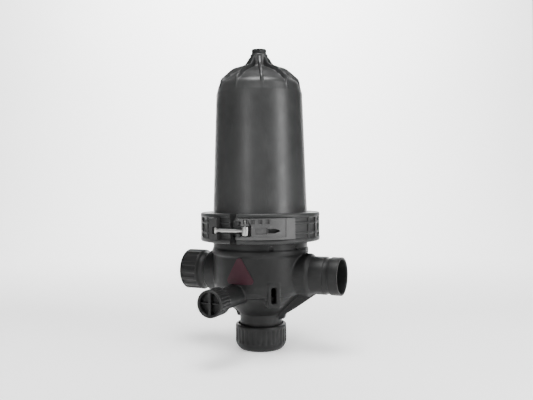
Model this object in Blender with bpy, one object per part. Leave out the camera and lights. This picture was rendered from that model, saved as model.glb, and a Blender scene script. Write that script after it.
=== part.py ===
"""Irrigation disc filter: a moulded base with its ports, a tall tapered cover, the two-part clamp
that joins them, and the disc cartridge inside. Metres, +Z up, +X along the outlet, -Y to the front.
The origin is the centre of the bottom cap's underside, which the filter stands on."""

import math

import bmesh
import bpy
from mathutils import Matrix

# Clearances
GAP = 0.0003  # between pieces that touch
THREAD_CLEARANCE = 0.0004  # radial, between a screwed cap and the thread that carries it
LIP_CLEARANCE = 0.0005  # between a clamp lip and the flank it pulls on

# Levels of the base, from the floor up
PORT_AXIS_Z = 0.124
PARTING_Z = 0.201  # where cover and base meet
BOWL_TOP_Z = 0.110
BOWL_CONE_TOP_Z = 0.090
NECK_TOP_Z = 0.058
THREAD_TOP_Z = 0.0465

# Base shell
BODY_RADIUS = 0.0775
BODY_WALL = 0.006
BOWL_CONE_RADIUS = BODY_RADIUS - 0.0105
NECK_RADIUS = 0.0345
NECK_BORE_RADIUS = 0.029
NECK_THREAD_RADIUS = 0.0374
COLLAR_RIB_Z = 0.161
COLLAR_RIB_HEIGHT = 0.007
COLLAR_RIB_DEPTH = 0.0018

# Flanges that the clamp grips
FLANGE_WIDTH = 0.0105
FLANGE_RADIUS = BODY_RADIUS + FLANGE_WIDTH
FLANGE_THICKNESS = 0.010
FLANK_HEIGHT = 0.008
SEAL_RADIUS = BODY_RADIUS + 0.0025
SEAL_SECTION_RADIUS = 0.0023

# Inlet and outlet pipes
PIPE_RADIUS = 0.03015
PIPE_BORE_RADIUS = 0.0265
PIPE_ROOT_RADIUS = 0.0335
PIPE_ROOT_REACH = BODY_RADIUS + 0.0145
OUTLET_REACH = 0.1405
GROOVE_LAND = 0.0159
GROOVE_WIDTH = 0.0087
GROOVE_DEPTH = 0.0016
WEB_THICKNESS = 0.008
WEB_FOOT_REACH = 0.042
WEB_KNEE_REACH = 0.062
WEB_TIP_REACH = 0.100
WEB_FOOT_Z = 0.050
WEB_KNEE_Z = 0.069

# Ribbed collar on the inlet
INLET_REACH = 0.137
INLET_COLLAR_RADIUS = 0.0338
INLET_COLLAR_LENGTH = 0.033
INLET_GRIPS = 16
INLET_GRIP_DEPTH = 0.0017
INLET_GRIP_LENGTH = 0.026

# Elbow that carries clean water from the cartridge to the outlet
ELBOW_RADIUS = 0.038
ELBOW_BORE_RADIUS = 0.0315
ELBOW_TOP_Z = 0.188
ELBOW_FLOOR_Z = 0.090
ELBOW_FLOOR_THICKNESS = 0.006

# Front drain port
DRAIN_OFFSET_X = -0.008
DRAIN_AXIS_Z = 0.0975
DRAIN_RADIUS = 0.0162
DRAIN_BORE_RADIUS = 0.0115
DRAIN_REACH = 0.1585
DRAIN_CAP_RADIUS = 0.0205
DRAIN_CAP_LENGTH = 0.028
DRAIN_CAP_RECESS = 0.009
DRAIN_CAP_RECESS_RADIUS = 0.0165
DRAIN_CAP_FLOOR = 0.004
DRAIN_CAP_WEB = 0.0045
DRAIN_GASKET_THICKNESS = 0.002
DRAIN_CAP_GRIPS = 12
DRAIN_CAP_GRIP_DEPTH = 0.0010

# Bottom cap
BOTTOM_CAP_RADIUS = 0.042
BOTTOM_CAP_HEIGHT = 0.041
BOTTOM_CAP_FLOOR = 0.005
BOTTOM_CAP_BEVEL = 0.0075
BOTTOM_CAP_BEVEL_HEIGHT = 0.012
BOTTOM_CAP_GRIPS = 16
BOTTOM_CAP_GRIP_DEPTH = 0.0014
BOTTOM_GASKET_THICKNESS = 0.003

# Pocket and dimples moulded into the base
POCKET_AZIMUTH = math.radians(40)
POCKET_Z = 0.097
POCKET_WIDTH = 0.008
POCKET_HEIGHT = 0.024
POCKET_DEPTH = 0.014
POCKET_BOSS_MARGIN = 0.006
POCKET_BOSS_REACH = BODY_RADIUS + 0.0005
DIMPLE_AZIMUTHS = (math.radians(37), math.radians(71))
DIMPLE_Z = 0.169
DIMPLE_RADIUS = 0.0032
DIMPLE_DEPTH = 0.0025

# Grade label on the front of the base
LABEL_Z = 0.1348
LABEL_HEIGHT = 0.0405
LABEL_WIDTH = 0.045
LABEL_CORNER = 0.0055
LABEL_THICKNESS = 0.0008

# Cover
COVER_WALL = 0.005
COVER_SHOULDER_Z = 0.417
COVER_SHOULDER_RADIUS = 0.071
COVER_CROWN_Z = 0.461
CROWN_CURVE = ((0.976, 0.18), (0.952, 0.41), (0.908, 0.49), (0.817, 0.59), (0.704, 0.73), (0.592, 0.84), (0.380, 0.966))
CROWN_RIBS = 10
CROWN_RIB_START = math.radians(8)
CROWN_RIB_THICKNESS = 0.0040
CROWN_RIB_RISE = 0.0052
GUSSET_TOP_Z = 0.4795
VENT_NECK_RADIUS = 0.0145
VENT_NECK_TOP_Z = 0.4835
VENT_BORE_RADIUS = 0.0102

# Vent plug
VENT_PLUG_ACROSS_FLATS = 0.0235
VENT_PLUG_HEAD = 0.0062
VENT_PLUG_LENGTH = 0.016
VENT_PLUG_RECESS_RADIUS = 0.0055
VENT_PLUG_RECESS_DEPTH = 0.0035
VENT_SEAL_THICKNESS = 0.0016

# Clamp
CLAMP_WALL = 0.0069
CLAMP_GROOVE_CLEARANCE = 0.0006
CLAMP_RADIUS = FLANGE_RADIUS + CLAMP_GROOVE_CLEARANCE + CLAMP_WALL
CLAMP_RIM_RADIUS = CLAMP_RADIUS + 0.0025
CLAMP_BOTTOM_Z = 0.178
CLAMP_TOP_Z = 0.224
CLAMP_LIP_RADIUS = BODY_RADIUS + 0.0020
CLAMP_RIM_HEIGHT = 0.006
CLAMP_RIM_ROUND = 0.0020
CLAMP_FRONT_GAP = 0.006
CLAMP_REAR_GAP = 0.0176

# Hinge of the clamp
HINGE_Y = CLAMP_RIM_RADIUS + 0.0012
HINGE_PIN_RADIUS = 0.0025
HINGE_PIN_CLEARANCE = 0.0003
KNUCKLE_RADIUS = 0.0068
HINGE_PIN_HEAD_RADIUS = 0.0042
HINGE_PIN_HEAD = 0.0020

# Latch: the lever turns on two short pins in the ears of the right-hand half
LATCH_Z = 0.2015
LINK_Z = 0.199
LEVER_PIVOT_X = 0.0115
LEVER_PIVOT_Y = -CLAMP_RIM_RADIUS - 0.0043
LINK_PIVOT_X = 0.0225
LINK_Y = LEVER_PIVOT_Y + 0.0013
LINK_RADIUS = 0.0030
LINK_HEAD_X = -0.0313
LINK_HEAD_RADIUS = 0.0035
LINK_HEAD_HEIGHT = 0.014
LINK_EYE_RADIUS = 0.0055
LINK_EYE_HEIGHT = 0.013
LEVER_HEIGHT = 0.032
LEVER_CHEEK = 0.0040
LEVER_PLATE = 0.0036
LEVER_START = math.radians(9.5)
LEVER_END = math.radians(56)
LEVER_START_RADIUS = CLAMP_RIM_RADIUS + 0.0105
LEVER_END_RADIUS = CLAMP_RIM_RADIUS + 0.0050
LEVER_INNER_RADIUS = CLAMP_RIM_RADIUS + 0.0008
LEVER_BOSS_RADIUS = 0.0045
LEVER_WINDOW_X = 0.0325
EAR_RADIUS = 0.0042
EAR_THICKNESS = 0.0046
LATCH_PIN_RADIUS = 0.0020
LATCH_PIN_CLEARANCE = 0.0003
CATCH_LEFT_X = -0.038
CATCH_RIGHT_X = -0.024
CATCH_WALL = 0.0035
CATCH_FACE_Y = LINK_Y - 0.0045
CATCH_HEIGHT = 0.033
CATCH_CLEARANCE = 0.0006

# Disc cartridge
SPINE_PLATE_RADIUS = 0.0575
SPINE_PLATE_THICKNESS = 0.008
SPINE_SKIRT_LENGTH = 0.018
SPINE_SKIRT_WALL = 0.005
SPINE_SKIRT_CLEARANCE = 0.0004
SPINE_ROD_RADIUS = 0.0042
SPINE_ROD_CIRCLE = 0.0335
SPINE_RODS = 3
SPINE_HUB_THICKNESS = 0.008
SPINE_STUD_RADIUS = 0.0050
SPINE_SEAL_RADIUS = 0.0015
DISC_RADIUS = 0.056
DISC_BORE_RADIUS = 0.0400
DISC_STACK_LENGTH = 0.188
DISC_GROOVES = 22
DISC_GROOVE_DEPTH = 0.0012
PISTON_THICKNESS = 0.006
PISTON_BOSS_RADIUS = 0.0140
PISTON_BOSS_HEIGHT = 0.006
STUD_CLEARANCE = 0.0004
SPRING_LENGTH = 0.028
SPRING_RADIUS = 0.0178
SPRING_WIRE_RADIUS = 0.0014
SPRING_TURNS = 4.5
WASHER_RADIUS = 0.022
WASHER_THICKNESS = 0.002
NUT_RADIUS = 0.0095
NUT_HEIGHT = 0.012
NUT_WING_REACH = 0.0200
NUT_WING_THICKNESS = 0.0040
STUD_SPARE = 0.003

# Facets
MERGE = 0.000005
BODY_SIDES = 48
PIPE_SIDES = 32
SMALL_SIDES = 20
PIN_SIDES = 12

BLACK = (0.030, 0.031, 0.032)
CHARCOAL = (0.045, 0.046, 0.047)
STEEL = (0.62, 0.62, 0.60)
RUBBER = (0.012, 0.012, 0.012)
GRADE_RED = (0.23, 0.030, 0.045)
DISC_RED = (0.42, 0.035, 0.040)
NATURAL = (0.050, 0.052, 0.055)


def clear_scene():
    for obj in list(bpy.data.objects):
        bpy.data.objects.remove(obj, do_unlink=True)


def material(name, colour, roughness, metallic=0.0):
    made = bpy.data.materials.get(name) or bpy.data.materials.new(name)
    made.use_nodes = True
    shader = made.node_tree.nodes["Principled BSDF"]
    shader.inputs["Base Color"].default_value = (*colour, 1.0)
    shader.inputs["Roughness"].default_value = roughness
    shader.inputs["Metallic"].default_value = metallic
    return made


def black_plastic():
    return material("black_plastic", BLACK, 0.42)


def cover_plastic():
    return material("cover_plastic", CHARCOAL, 0.38)


def steel():
    return material("steel", STEEL, 0.28, 1.0)


def rubber():
    return material("rubber", RUBBER, 0.75)


def finish(mesh_data, name, made_of=None):
    """Turns a bmesh into a linked object with outward normals and shaded round faces."""
    bmesh.ops.remove_doubles(mesh_data, verts=mesh_data.verts, dist=1e-7)
    bmesh.ops.recalc_face_normals(mesh_data, faces=mesh_data.faces)
    mesh = bpy.data.meshes.new(name)
    mesh_data.to_mesh(mesh)
    mesh_data.free()
    mesh.shade_smooth()
    mesh.set_sharp_from_angle(angle=math.radians(35))
    obj = bpy.data.objects.new(name, mesh)
    bpy.context.scene.collection.objects.link(obj)
    if made_of:
        mesh.materials.append(made_of)
    return obj


def turned(name, profile, sides, made_of=None, start=0.0, span=2 * math.pi, place=None):
    """A closed (radius, height) outline turned about +Z, all the way or through part of a turn."""
    mesh_data = bmesh.new()
    whole = span > 2 * math.pi - 1e-6
    count = sides if whole else sides + 1
    columns = []
    for radius, height in profile:
        if radius < 1e-7:
            columns.append([mesh_data.verts.new((0, 0, height))] * count)
            continue
        ring = []
        for i in range(count):
            angle = start + span * i / sides
            ring.append(mesh_data.verts.new((radius * math.cos(angle), radius * math.sin(angle), height)))
        columns.append(ring)
    for lower, upper in zip(columns, columns[1:] + columns[:1]):
        for i in range(sides):
            j = (i + 1) % count
            corners = []
            for vert in (lower[i], lower[j], upper[j], upper[i]):
                if vert not in corners:
                    corners.append(vert)
            if len(corners) > 2:
                mesh_data.faces.new(corners)
    if not whole:
        for i in (0, sides):
            corners = []
            for column in columns:
                if column[i] not in corners:
                    corners.append(column[i])
            mesh_data.faces.new(corners)
    if place:
        bmesh.ops.transform(mesh_data, matrix=place, verts=mesh_data.verts)
    return finish(mesh_data, name, made_of)


def prism(name, outline, low, high, made_of=None, place=None):
    """An (x, y) outline extruded along +Z."""
    mesh_data = bmesh.new()
    rings = [[mesh_data.verts.new((x, y, z)) for x, y in outline] for z in (low, high)]
    mesh_data.faces.new(rings[0])
    mesh_data.faces.new(rings[1])
    for i in range(len(outline)):
        j = (i + 1) % len(outline)
        mesh_data.faces.new((rings[0][i], rings[0][j], rings[1][j], rings[1][i]))
    if place:
        bmesh.ops.transform(mesh_data, matrix=place, verts=mesh_data.verts)
    return finish(mesh_data, name, made_of)


def box(name, low, high, made_of=None, place=None):
    outline = [(low[0], low[1]), (high[0], low[1]), (high[0], high[1]), (low[0], high[1])]
    return prism(name, outline, low[2], high[2], made_of, place)


def rod(name, radius, low, high, sides, made_of=None, place=None):
    """A plain round bar along +Z."""
    return turned(name, [(0, low), (radius, low), (radius, high), (0, high)], sides, made_of, place=place)


def merged(target, tool, operation):
    """Applies one Boolean to target and removes the tool."""
    modifier = target.modifiers.new("boolean", "BOOLEAN")
    modifier.operation = operation
    modifier.solver = "EXACT"
    modifier.object = tool
    graph = bpy.context.evaluated_depsgraph_get()
    made = bpy.data.meshes.new_from_object(target.evaluated_get(graph), depsgraph=graph)
    old = target.data
    target.modifiers.clear()
    target.data = made
    made.name = target.name
    bpy.data.meshes.remove(old)
    bpy.data.objects.remove(tool, do_unlink=True)
    mesh_data = bmesh.new()
    mesh_data.from_mesh(made)
    bmesh.ops.remove_doubles(mesh_data, verts=mesh_data.verts, dist=MERGE)
    bmesh.ops.dissolve_degenerate(mesh_data, edges=mesh_data.edges, dist=MERGE)
    mesh_data.to_mesh(made)
    mesh_data.free()
    made.shade_smooth()
    made.set_sharp_from_angle(angle=math.radians(35))
    return target


def join(target, *tools):
    for tool in tools:
        merged(target, tool, "UNION")
    return target


def cut(target, *tools):
    for tool in tools:
        merged(target, tool, "DIFFERENCE")
    return target


def kept_inside(target, tool):
    return merged(target, tool, "INTERSECT")


def along_x(x=0.0, y=0.0, z=0.0):
    """Takes +Z to +X, at a place."""
    return Matrix.Translation((x, y, z)) @ Matrix.Rotation(math.radians(90), 4, "Y")


def along_front(x=0.0, y=0.0, z=0.0):
    """Takes +Z to -Y, at a place."""
    return Matrix.Translation((x, y, z)) @ Matrix.Rotation(math.radians(90), 4, "X")


def facing(azimuth, z=0.0):
    """Takes +Z to the outward direction at an azimuth, counted from the front towards the outlet."""
    return Matrix.Translation((0, 0, z)) @ Matrix.Rotation(azimuth, 4, "Z") @ Matrix.Rotation(math.radians(90), 4, "X")


def around(radius, azimuth):
    """A point of the plan at an azimuth, counted from the front towards the outlet."""
    return radius * math.sin(azimuth), -radius * math.cos(azimuth)


def circle_arc(centre, radius, start, end, steps):
    points = []
    for i in range(steps + 1):
        angle = start + (end - start) * i / steps
        points.append((centre[0] + radius * math.cos(angle), centre[1] + radius * math.sin(angle)))
    return points


# Base housing


def bowl_outline(inset):
    """Radius and height of the bowl between neck and wall, inset by the wall's thickness."""
    points = [(BOWL_CONE_RADIUS - inset, BOWL_CONE_TOP_Z + inset / 2)]
    body = BODY_RADIUS - inset
    for i in (1, 2, 3):
        turn = math.radians(30 * i)
        radius = BOWL_CONE_RADIUS - inset + (body - BOWL_CONE_RADIUS + inset) * math.sin(turn)
        height = BOWL_TOP_Z - (BOWL_TOP_Z - BOWL_CONE_TOP_Z - inset / 2) * math.cos(turn)
        points.append((radius, height))
    return points


def rib_outline(spare):
    """Radius and height of the rib that runs round the wall above the ports."""
    half = COLLAR_RIB_HEIGHT / 2 + spare
    return [
        (BODY_RADIUS + spare, COLLAR_RIB_Z - half - COLLAR_RIB_DEPTH),
        (BODY_RADIUS + COLLAR_RIB_DEPTH + spare, COLLAR_RIB_Z - half),
        (BODY_RADIUS + COLLAR_RIB_DEPTH + spare, COLLAR_RIB_Z + half),
        (BODY_RADIUS + spare, COLLAR_RIB_Z + half + COLLAR_RIB_DEPTH),
    ]


def base_shell():
    """Neck, bowl, wall and flange as one solid block, before it is hollowed."""
    neck_end = BOTTOM_CAP_FLOOR + BOTTOM_GASKET_THICKNESS + 2 * GAP
    flank_top = PARTING_Z - FLANGE_THICKNESS
    profile = [
        (0, neck_end),
        (NECK_THREAD_RADIUS - COLLAR_RIB_DEPTH, neck_end),
        (NECK_THREAD_RADIUS, neck_end + COLLAR_RIB_DEPTH),
        (NECK_THREAD_RADIUS, THREAD_TOP_Z),
        (NECK_RADIUS, THREAD_TOP_Z + NECK_THREAD_RADIUS - NECK_RADIUS),
        (NECK_RADIUS, NECK_TOP_Z),
        *bowl_outline(0.0),
        *rib_outline(0.0),
        (BODY_RADIUS, flank_top - FLANK_HEIGHT),
        (FLANGE_RADIUS, flank_top),
        (FLANGE_RADIUS, PARTING_Z),
        (0, PARTING_Z),
    ]
    return turned("base_housing", profile, BODY_SIDES, black_plastic())


def base_cavity(inset=BODY_WALL):
    """The dirty-water chamber, as a solid that runs out of both open ends."""
    bore = NECK_BORE_RADIUS + BODY_WALL - inset
    profile = [
        (0, -BODY_WALL),
        (bore, -BODY_WALL),
        (bore, NECK_TOP_Z + inset / 2),
        *bowl_outline(inset),
        (BODY_RADIUS - inset, PARTING_Z + BODY_WALL),
        (0, PARTING_Z + BODY_WALL),
    ]
    return turned("cavity", profile, BODY_SIDES)


def base_room():
    """The bowl and wall with a clearance round them, to trim what stands on their outside."""
    profile = [
        (0, 0),
        (NECK_RADIUS + GAP, 0),
        (NECK_RADIUS + GAP, NECK_TOP_Z - GAP / 2),
        *bowl_outline(-GAP),
        *rib_outline(GAP),
        (BODY_RADIUS + GAP, PARTING_Z),
        (0, PARTING_Z),
    ]
    return turned("room", profile, BODY_SIDES)


def port_place(side):
    """Takes +Z to a port's outward direction, on the ports' axis."""
    return Matrix.Rotation(0 if side > 0 else math.pi, 4, "Z") @ along_x(0, 0, PORT_AXIS_Z)


def pipe(reach, side):
    """One of the two horizontal pipes with the wider root that joins it to the wall."""
    inside = BODY_RADIUS - BODY_WALL * 2
    profile = [
        (0, inside),
        (PIPE_ROOT_RADIUS, inside),
        (PIPE_ROOT_RADIUS, PIPE_ROOT_REACH),
        (PIPE_RADIUS, PIPE_ROOT_REACH + PIPE_ROOT_RADIUS - PIPE_RADIUS),
        (PIPE_RADIUS, reach),
        (0, reach),
    ]
    return turned("pipe", profile, PIPE_SIDES, place=port_place(side))


def inlet_collar():
    start = INLET_REACH - INLET_COLLAR_LENGTH
    bevel = INLET_GRIP_DEPTH
    profile = [
        (0, start),
        (INLET_COLLAR_RADIUS - bevel, start),
        (INLET_COLLAR_RADIUS, start + bevel),
        (INLET_COLLAR_RADIUS, INLET_REACH - bevel),
        (INLET_COLLAR_RADIUS - bevel, INLET_REACH),
        (0, INLET_REACH),
    ]
    return turned("collar", profile, PIPE_SIDES, place=port_place(-1))


def grips(count, radius, depth, low, high, place=None):
    """Axial grooves cut round a cylinder, half as wide as their pitch."""
    mesh_data = bmesh.new()
    half = math.pi * radius / count / 2
    for i in range(count):
        spin = Matrix.Rotation(2 * math.pi * (i + 0.5) / count, 4, "Z")
        middle = Matrix.Translation((radius, 0, (low + high) / 2))
        stretch = Matrix.Diagonal((2 * depth, 2 * half, high - low, 1))
        bmesh.ops.create_cube(mesh_data, size=1, matrix=spin @ middle @ stretch)
    if place:
        bmesh.ops.transform(mesh_data, matrix=place, verts=mesh_data.verts)
    return finish(mesh_data, "grips")


def pipe_groove():
    """Ring cut near the outlet's end, for a grooved pipe coupling."""
    start = OUTLET_REACH - GROOVE_LAND - GROOVE_WIDTH
    low = PIPE_RADIUS - GROOVE_DEPTH
    high = PIPE_RADIUS + GROOVE_DEPTH
    profile = [(low, start), (high, start), (high, start + GROOVE_WIDTH), (low, start + GROOVE_WIDTH)]
    return turned("groove", profile, PIPE_SIDES, place=along_x(0, 0, PORT_AXIS_Z))


def pipe_web(side):
    """Plate under a pipe that braces it against the bowl and neck."""
    tip_z = PORT_AXIS_Z - PIPE_RADIUS + GROOVE_DEPTH
    inside = NECK_RADIUS - BODY_WALL / 3
    outline = [
        (inside, WEB_FOOT_Z),
        (WEB_FOOT_REACH, WEB_FOOT_Z),
        (WEB_FOOT_REACH + WEB_THICKNESS / 4, WEB_FOOT_Z + WEB_THICKNESS),
        (WEB_KNEE_REACH, WEB_KNEE_Z),
        (WEB_TIP_REACH, tip_z),
        (WEB_TIP_REACH - PIPE_RADIUS, PORT_AXIS_Z),
        (inside, PORT_AXIS_Z),
    ]
    upright = Matrix.Rotation(math.radians(90), 4, "X")
    place = Matrix.Rotation(0 if side > 0 else math.pi, 4, "Z") @ upright
    return prism("web", outline, -WEB_THICKNESS / 2, WEB_THICKNESS / 2, place=place)


def make_elbow():
    """Upright tube under the cartridge that turns into an arm towards the outlet."""
    elbow = rod("elbow", ELBOW_RADIUS, ELBOW_FLOOR_Z, ELBOW_TOP_Z, PIPE_SIDES, black_plastic())
    arm_radius = PIPE_BORE_RADIUS + BODY_WALL
    join(elbow, rod("arm", arm_radius, 0, BODY_RADIUS, PIPE_SIDES, place=port_place(1)))
    kept_inside(elbow, base_cavity(BODY_WALL + GAP))
    floor = ELBOW_FLOOR_Z + ELBOW_FLOOR_THICKNESS
    bore = rod("bore", ELBOW_BORE_RADIUS, floor, ELBOW_TOP_Z + BODY_WALL, PIPE_SIDES)
    return cut(elbow, bore, port_bore(0, OUTLET_REACH, 1))


def port_bore(start, reach, side):
    return rod("bore", PIPE_BORE_RADIUS, start, reach + BODY_WALL, PIPE_SIDES, place=port_place(side))


def drain_seat():
    """Distance from the front of the drain cap to the end of the drain pipe."""
    return DRAIN_CAP_RECESS + DRAIN_CAP_FLOOR + DRAIN_GASKET_THICKNESS + 2 * GAP


def drain_pipe():
    inside = NECK_RADIUS + BODY_WALL
    end = DRAIN_REACH - drain_seat()
    place = along_front(DRAIN_OFFSET_X, 0, DRAIN_AXIS_Z)
    return rod("drain", DRAIN_RADIUS, inside, end, SMALL_SIDES, place=place)


def drain_bore():
    place = along_front(DRAIN_OFFSET_X, 0, DRAIN_AXIS_Z)
    return rod("drain_bore", DRAIN_BORE_RADIUS, ELBOW_RADIUS + BODY_WALL, DRAIN_REACH, SMALL_SIDES, place=place)


def pocket_boss():
    half_w = POCKET_WIDTH / 2 + POCKET_BOSS_MARGIN
    half_h = POCKET_HEIGHT / 2 + POCKET_BOSS_MARGIN
    place = facing(POCKET_AZIMUTH, POCKET_Z)
    inside = POCKET_BOSS_REACH - POCKET_DEPTH - BODY_WALL
    return box("boss", (-half_w, -half_h, inside), (half_w, half_h, POCKET_BOSS_REACH), place=place)


def pocket():
    half_w = POCKET_WIDTH / 2
    half_h = POCKET_HEIGHT / 2
    low = POCKET_BOSS_REACH - POCKET_DEPTH
    high = POCKET_BOSS_REACH + BODY_WALL
    return box("pocket", (-half_w, -half_h, low), (half_w, half_h, high), place=facing(POCKET_AZIMUTH, POCKET_Z))


def dimple(azimuth):
    low = BODY_RADIUS - DIMPLE_DEPTH
    return rod("dimple", DIMPLE_RADIUS, low, BODY_RADIUS + BODY_WALL, PIN_SIDES, place=facing(azimuth, DIMPLE_Z))


def seal_groove():
    half = SEAL_SECTION_RADIUS + GAP
    depth = 2 * SEAL_SECTION_RADIUS
    profile = [
        (SEAL_RADIUS - half, PARTING_Z - depth),
        (SEAL_RADIUS + half, PARTING_Z - depth),
        (SEAL_RADIUS + half, PARTING_Z + BODY_WALL),
        (SEAL_RADIUS - half, PARTING_Z + BODY_WALL),
    ]
    return turned("seal_groove", profile, BODY_SIDES)


def make_base_housing():
    """Neck, bowl, wall and flange, with a hole in the wall for each pipe."""
    base = base_shell()
    join(base, pocket_boss())
    cut(base, base_cavity())
    wall = BODY_RADIUS - 2 * BODY_WALL
    cut(base, port_bore(wall, BODY_RADIUS, 1), port_bore(wall, BODY_RADIUS, -1))
    cut(base, drain_bore(), pocket(), seal_groove())
    for azimuth in DIMPLE_AZIMUTHS:
        cut(base, dimple(azimuth))
    return base


def make_outlet_pipe():
    outlet = pipe(OUTLET_REACH, 1)
    outlet.name = "outlet_pipe"
    outlet.data.materials.append(black_plastic())
    join(outlet, pipe_web(1))
    return cut(outlet, base_room(), port_bore(0, OUTLET_REACH, 1), pipe_groove())


def make_inlet_pipe():
    inlet = pipe(INLET_REACH, -1)
    inlet.name = "inlet_pipe"
    inlet.data.materials.append(black_plastic())
    join(inlet, inlet_collar(), pipe_web(-1))
    cut(inlet, base_room(), port_bore(0, INLET_REACH, -1))
    middle = INLET_REACH - INLET_COLLAR_LENGTH / 2
    low = middle - INLET_GRIP_LENGTH / 2
    high = middle + INLET_GRIP_LENGTH / 2
    return cut(inlet, grips(INLET_GRIPS, INLET_COLLAR_RADIUS, INLET_GRIP_DEPTH, low, high, port_place(-1)))


def make_drain_pipe():
    drain = drain_pipe()
    drain.name = "drain_pipe"
    drain.data.materials.append(black_plastic())
    return cut(drain, base_room(), drain_bore())


def make_cover_seal():
    centre_z = PARTING_Z - SEAL_SECTION_RADIUS + GAP / 2
    profile = circle_arc((SEAL_RADIUS, centre_z), SEAL_SECTION_RADIUS - GAP / 2, 0, 2 * math.pi * 7 / 8, 7)
    return turned("cover_seal", profile, BODY_SIDES, rubber())


def make_label():
    """A plain three-cornered badge, point up, that follows the front of the wall."""
    half = LABEL_WIDTH / 2 - LABEL_CORNER
    low = LABEL_Z - LABEL_HEIGHT / 2 + LABEL_CORNER
    high = LABEL_Z + LABEL_HEIGHT / 2 - LABEL_CORNER
    slope = math.atan2(half, high - low)
    outline = circle_arc((half, low), LABEL_CORNER, -math.pi / 2, slope, 4)
    outline += circle_arc((0, high), LABEL_CORNER, slope, math.pi - slope, 4)
    outline += circle_arc((-half, low), LABEL_CORNER, math.pi - slope, math.pi * 1.5, 4)
    red = material("grade_red", GRADE_RED, 0.5)
    badge = prism("grade_label", outline, BODY_RADIUS / 2, FLANGE_RADIUS, red, along_front())
    inner = BODY_RADIUS + GAP
    return kept_inside(badge, washer("skin", inner, inner + LABEL_THICKNESS, BOWL_TOP_Z, PARTING_Z, BODY_SIDES, red))


# Cover


def crown_curve(inset=0.0):
    """Radius and height of the crown from shoulder to neck, inset by the wall's thickness."""
    rise = COVER_CROWN_Z - COVER_SHOULDER_Z
    points = []
    for radius_share, height_share in CROWN_CURVE:
        lowering = inset * height_share
        narrowing = inset * (1 - height_share * height_share)
        radius = COVER_SHOULDER_RADIUS * radius_share - narrowing
        points.append((radius, COVER_SHOULDER_Z + rise * height_share - lowering))
    return points


def crown_ribs():
    """Radial ribs from the shoulder to the neck, with a tall gusset against the neck."""
    curve = crown_curve()[2:]
    neck = (VENT_BORE_RADIUS + VENT_NECK_RADIUS) / 2
    gusset_low = curve[-1][1] + CROWN_RIB_RISE
    gusset_rise = GUSSET_TOP_Z - gusset_low
    gusset_run = curve[-1][0] - VENT_NECK_RADIUS
    top = [(curve[0][0] + CROWN_RIB_RISE / 4, curve[0][1])]
    top += [(radius, height + CROWN_RIB_RISE) for radius, height in curve[2:]]
    for run, climb in ((0.55, 0.33), (0.34, 0.63), (0.08, 0.95)):
        top.append((VENT_NECK_RADIUS + gusset_run * run, gusset_low + gusset_rise * climb))
    top.append((neck, GUSSET_TOP_Z))
    floor = [(neck, COVER_CROWN_Z - COVER_WALL / 2)]
    floor += [(radius - COVER_WALL / 4, height - COVER_WALL / 2) for radius, height in reversed(curve)]
    mesh_data = bmesh.new()
    for i in range(CROWN_RIBS):
        azimuth = CROWN_RIB_START + 2 * math.pi * i / CROWN_RIBS
        rings = []
        for side in (-CROWN_RIB_THICKNESS / 2, CROWN_RIB_THICKNESS / 2):
            ring = []
            for radius, height in top + floor:
                x = radius * math.cos(azimuth) - side * math.sin(azimuth)
                y = radius * math.sin(azimuth) + side * math.cos(azimuth)
                ring.append(mesh_data.verts.new((x, y, height)))
            rings.append(ring)
            mesh_data.faces.new(ring)
        for k in range(len(rings[0])):
            n = (k + 1) % len(rings[0])
            mesh_data.faces.new((rings[0][k], rings[0][n], rings[1][n], rings[1][k]))
    return finish(mesh_data, "ribs")


def make_cover():
    low = PARTING_Z + GAP
    flank = PARTING_Z + FLANGE_THICKNESS
    outside = [
        (BODY_RADIUS - COVER_WALL, low),
        (FLANGE_RADIUS, low),
        (FLANGE_RADIUS, flank),
        (BODY_RADIUS, flank + FLANK_HEIGHT),
        (COVER_SHOULDER_RADIUS, COVER_SHOULDER_Z),
        *crown_curve(),
        (VENT_NECK_RADIUS, COVER_CROWN_Z),
        (VENT_NECK_RADIUS, VENT_NECK_TOP_Z),
    ]
    inside = [
        (VENT_BORE_RADIUS, VENT_NECK_TOP_Z),
        (VENT_BORE_RADIUS, COVER_CROWN_Z - COVER_WALL),
        *reversed(crown_curve(COVER_WALL)),
        (COVER_SHOULDER_RADIUS - COVER_WALL, COVER_SHOULDER_Z),
        (BODY_RADIUS - COVER_WALL, flank + FLANK_HEIGHT),
    ]
    cover = turned("cover", outside + inside, BODY_SIDES, cover_plastic())
    return join(cover, crown_ribs())


def vent_head_z():
    return VENT_NECK_TOP_Z + VENT_SEAL_THICKNESS + 2 * GAP


def hexagon(across_flats):
    radius = across_flats / 2 / math.cos(math.pi / 6)
    return [(radius * math.cos(math.pi / 3 * i), radius * math.sin(math.pi / 3 * i)) for i in range(6)]


def make_vent_plug():
    low = vent_head_z()
    top = low + VENT_PLUG_HEAD
    plug = prism("vent_plug", hexagon(VENT_PLUG_ACROSS_FLATS), low, top, black_plastic())
    stem_radius = VENT_BORE_RADIUS - THREAD_CLEARANCE
    join(plug, rod("stem", stem_radius, low - VENT_PLUG_LENGTH, low + VENT_PLUG_HEAD / 3, SMALL_SIDES))
    floor = top - VENT_PLUG_RECESS_DEPTH
    return cut(plug, rod("recess", VENT_PLUG_RECESS_RADIUS, floor, top + GAP, SMALL_SIDES))


def washer(name, inner, outer, low, high, sides, made_of, place=None):
    return turned(name, [(inner, low), (outer, low), (outer, high), (inner, high)], sides, made_of, place=place)


def make_vent_seal():
    low = VENT_NECK_TOP_Z + GAP
    outer = VENT_PLUG_ACROSS_FLATS / 2 + GAP
    return washer("vent_seal", VENT_BORE_RADIUS, outer, low, low + VENT_SEAL_THICKNESS, SMALL_SIDES, rubber())


# Clamp


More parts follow.
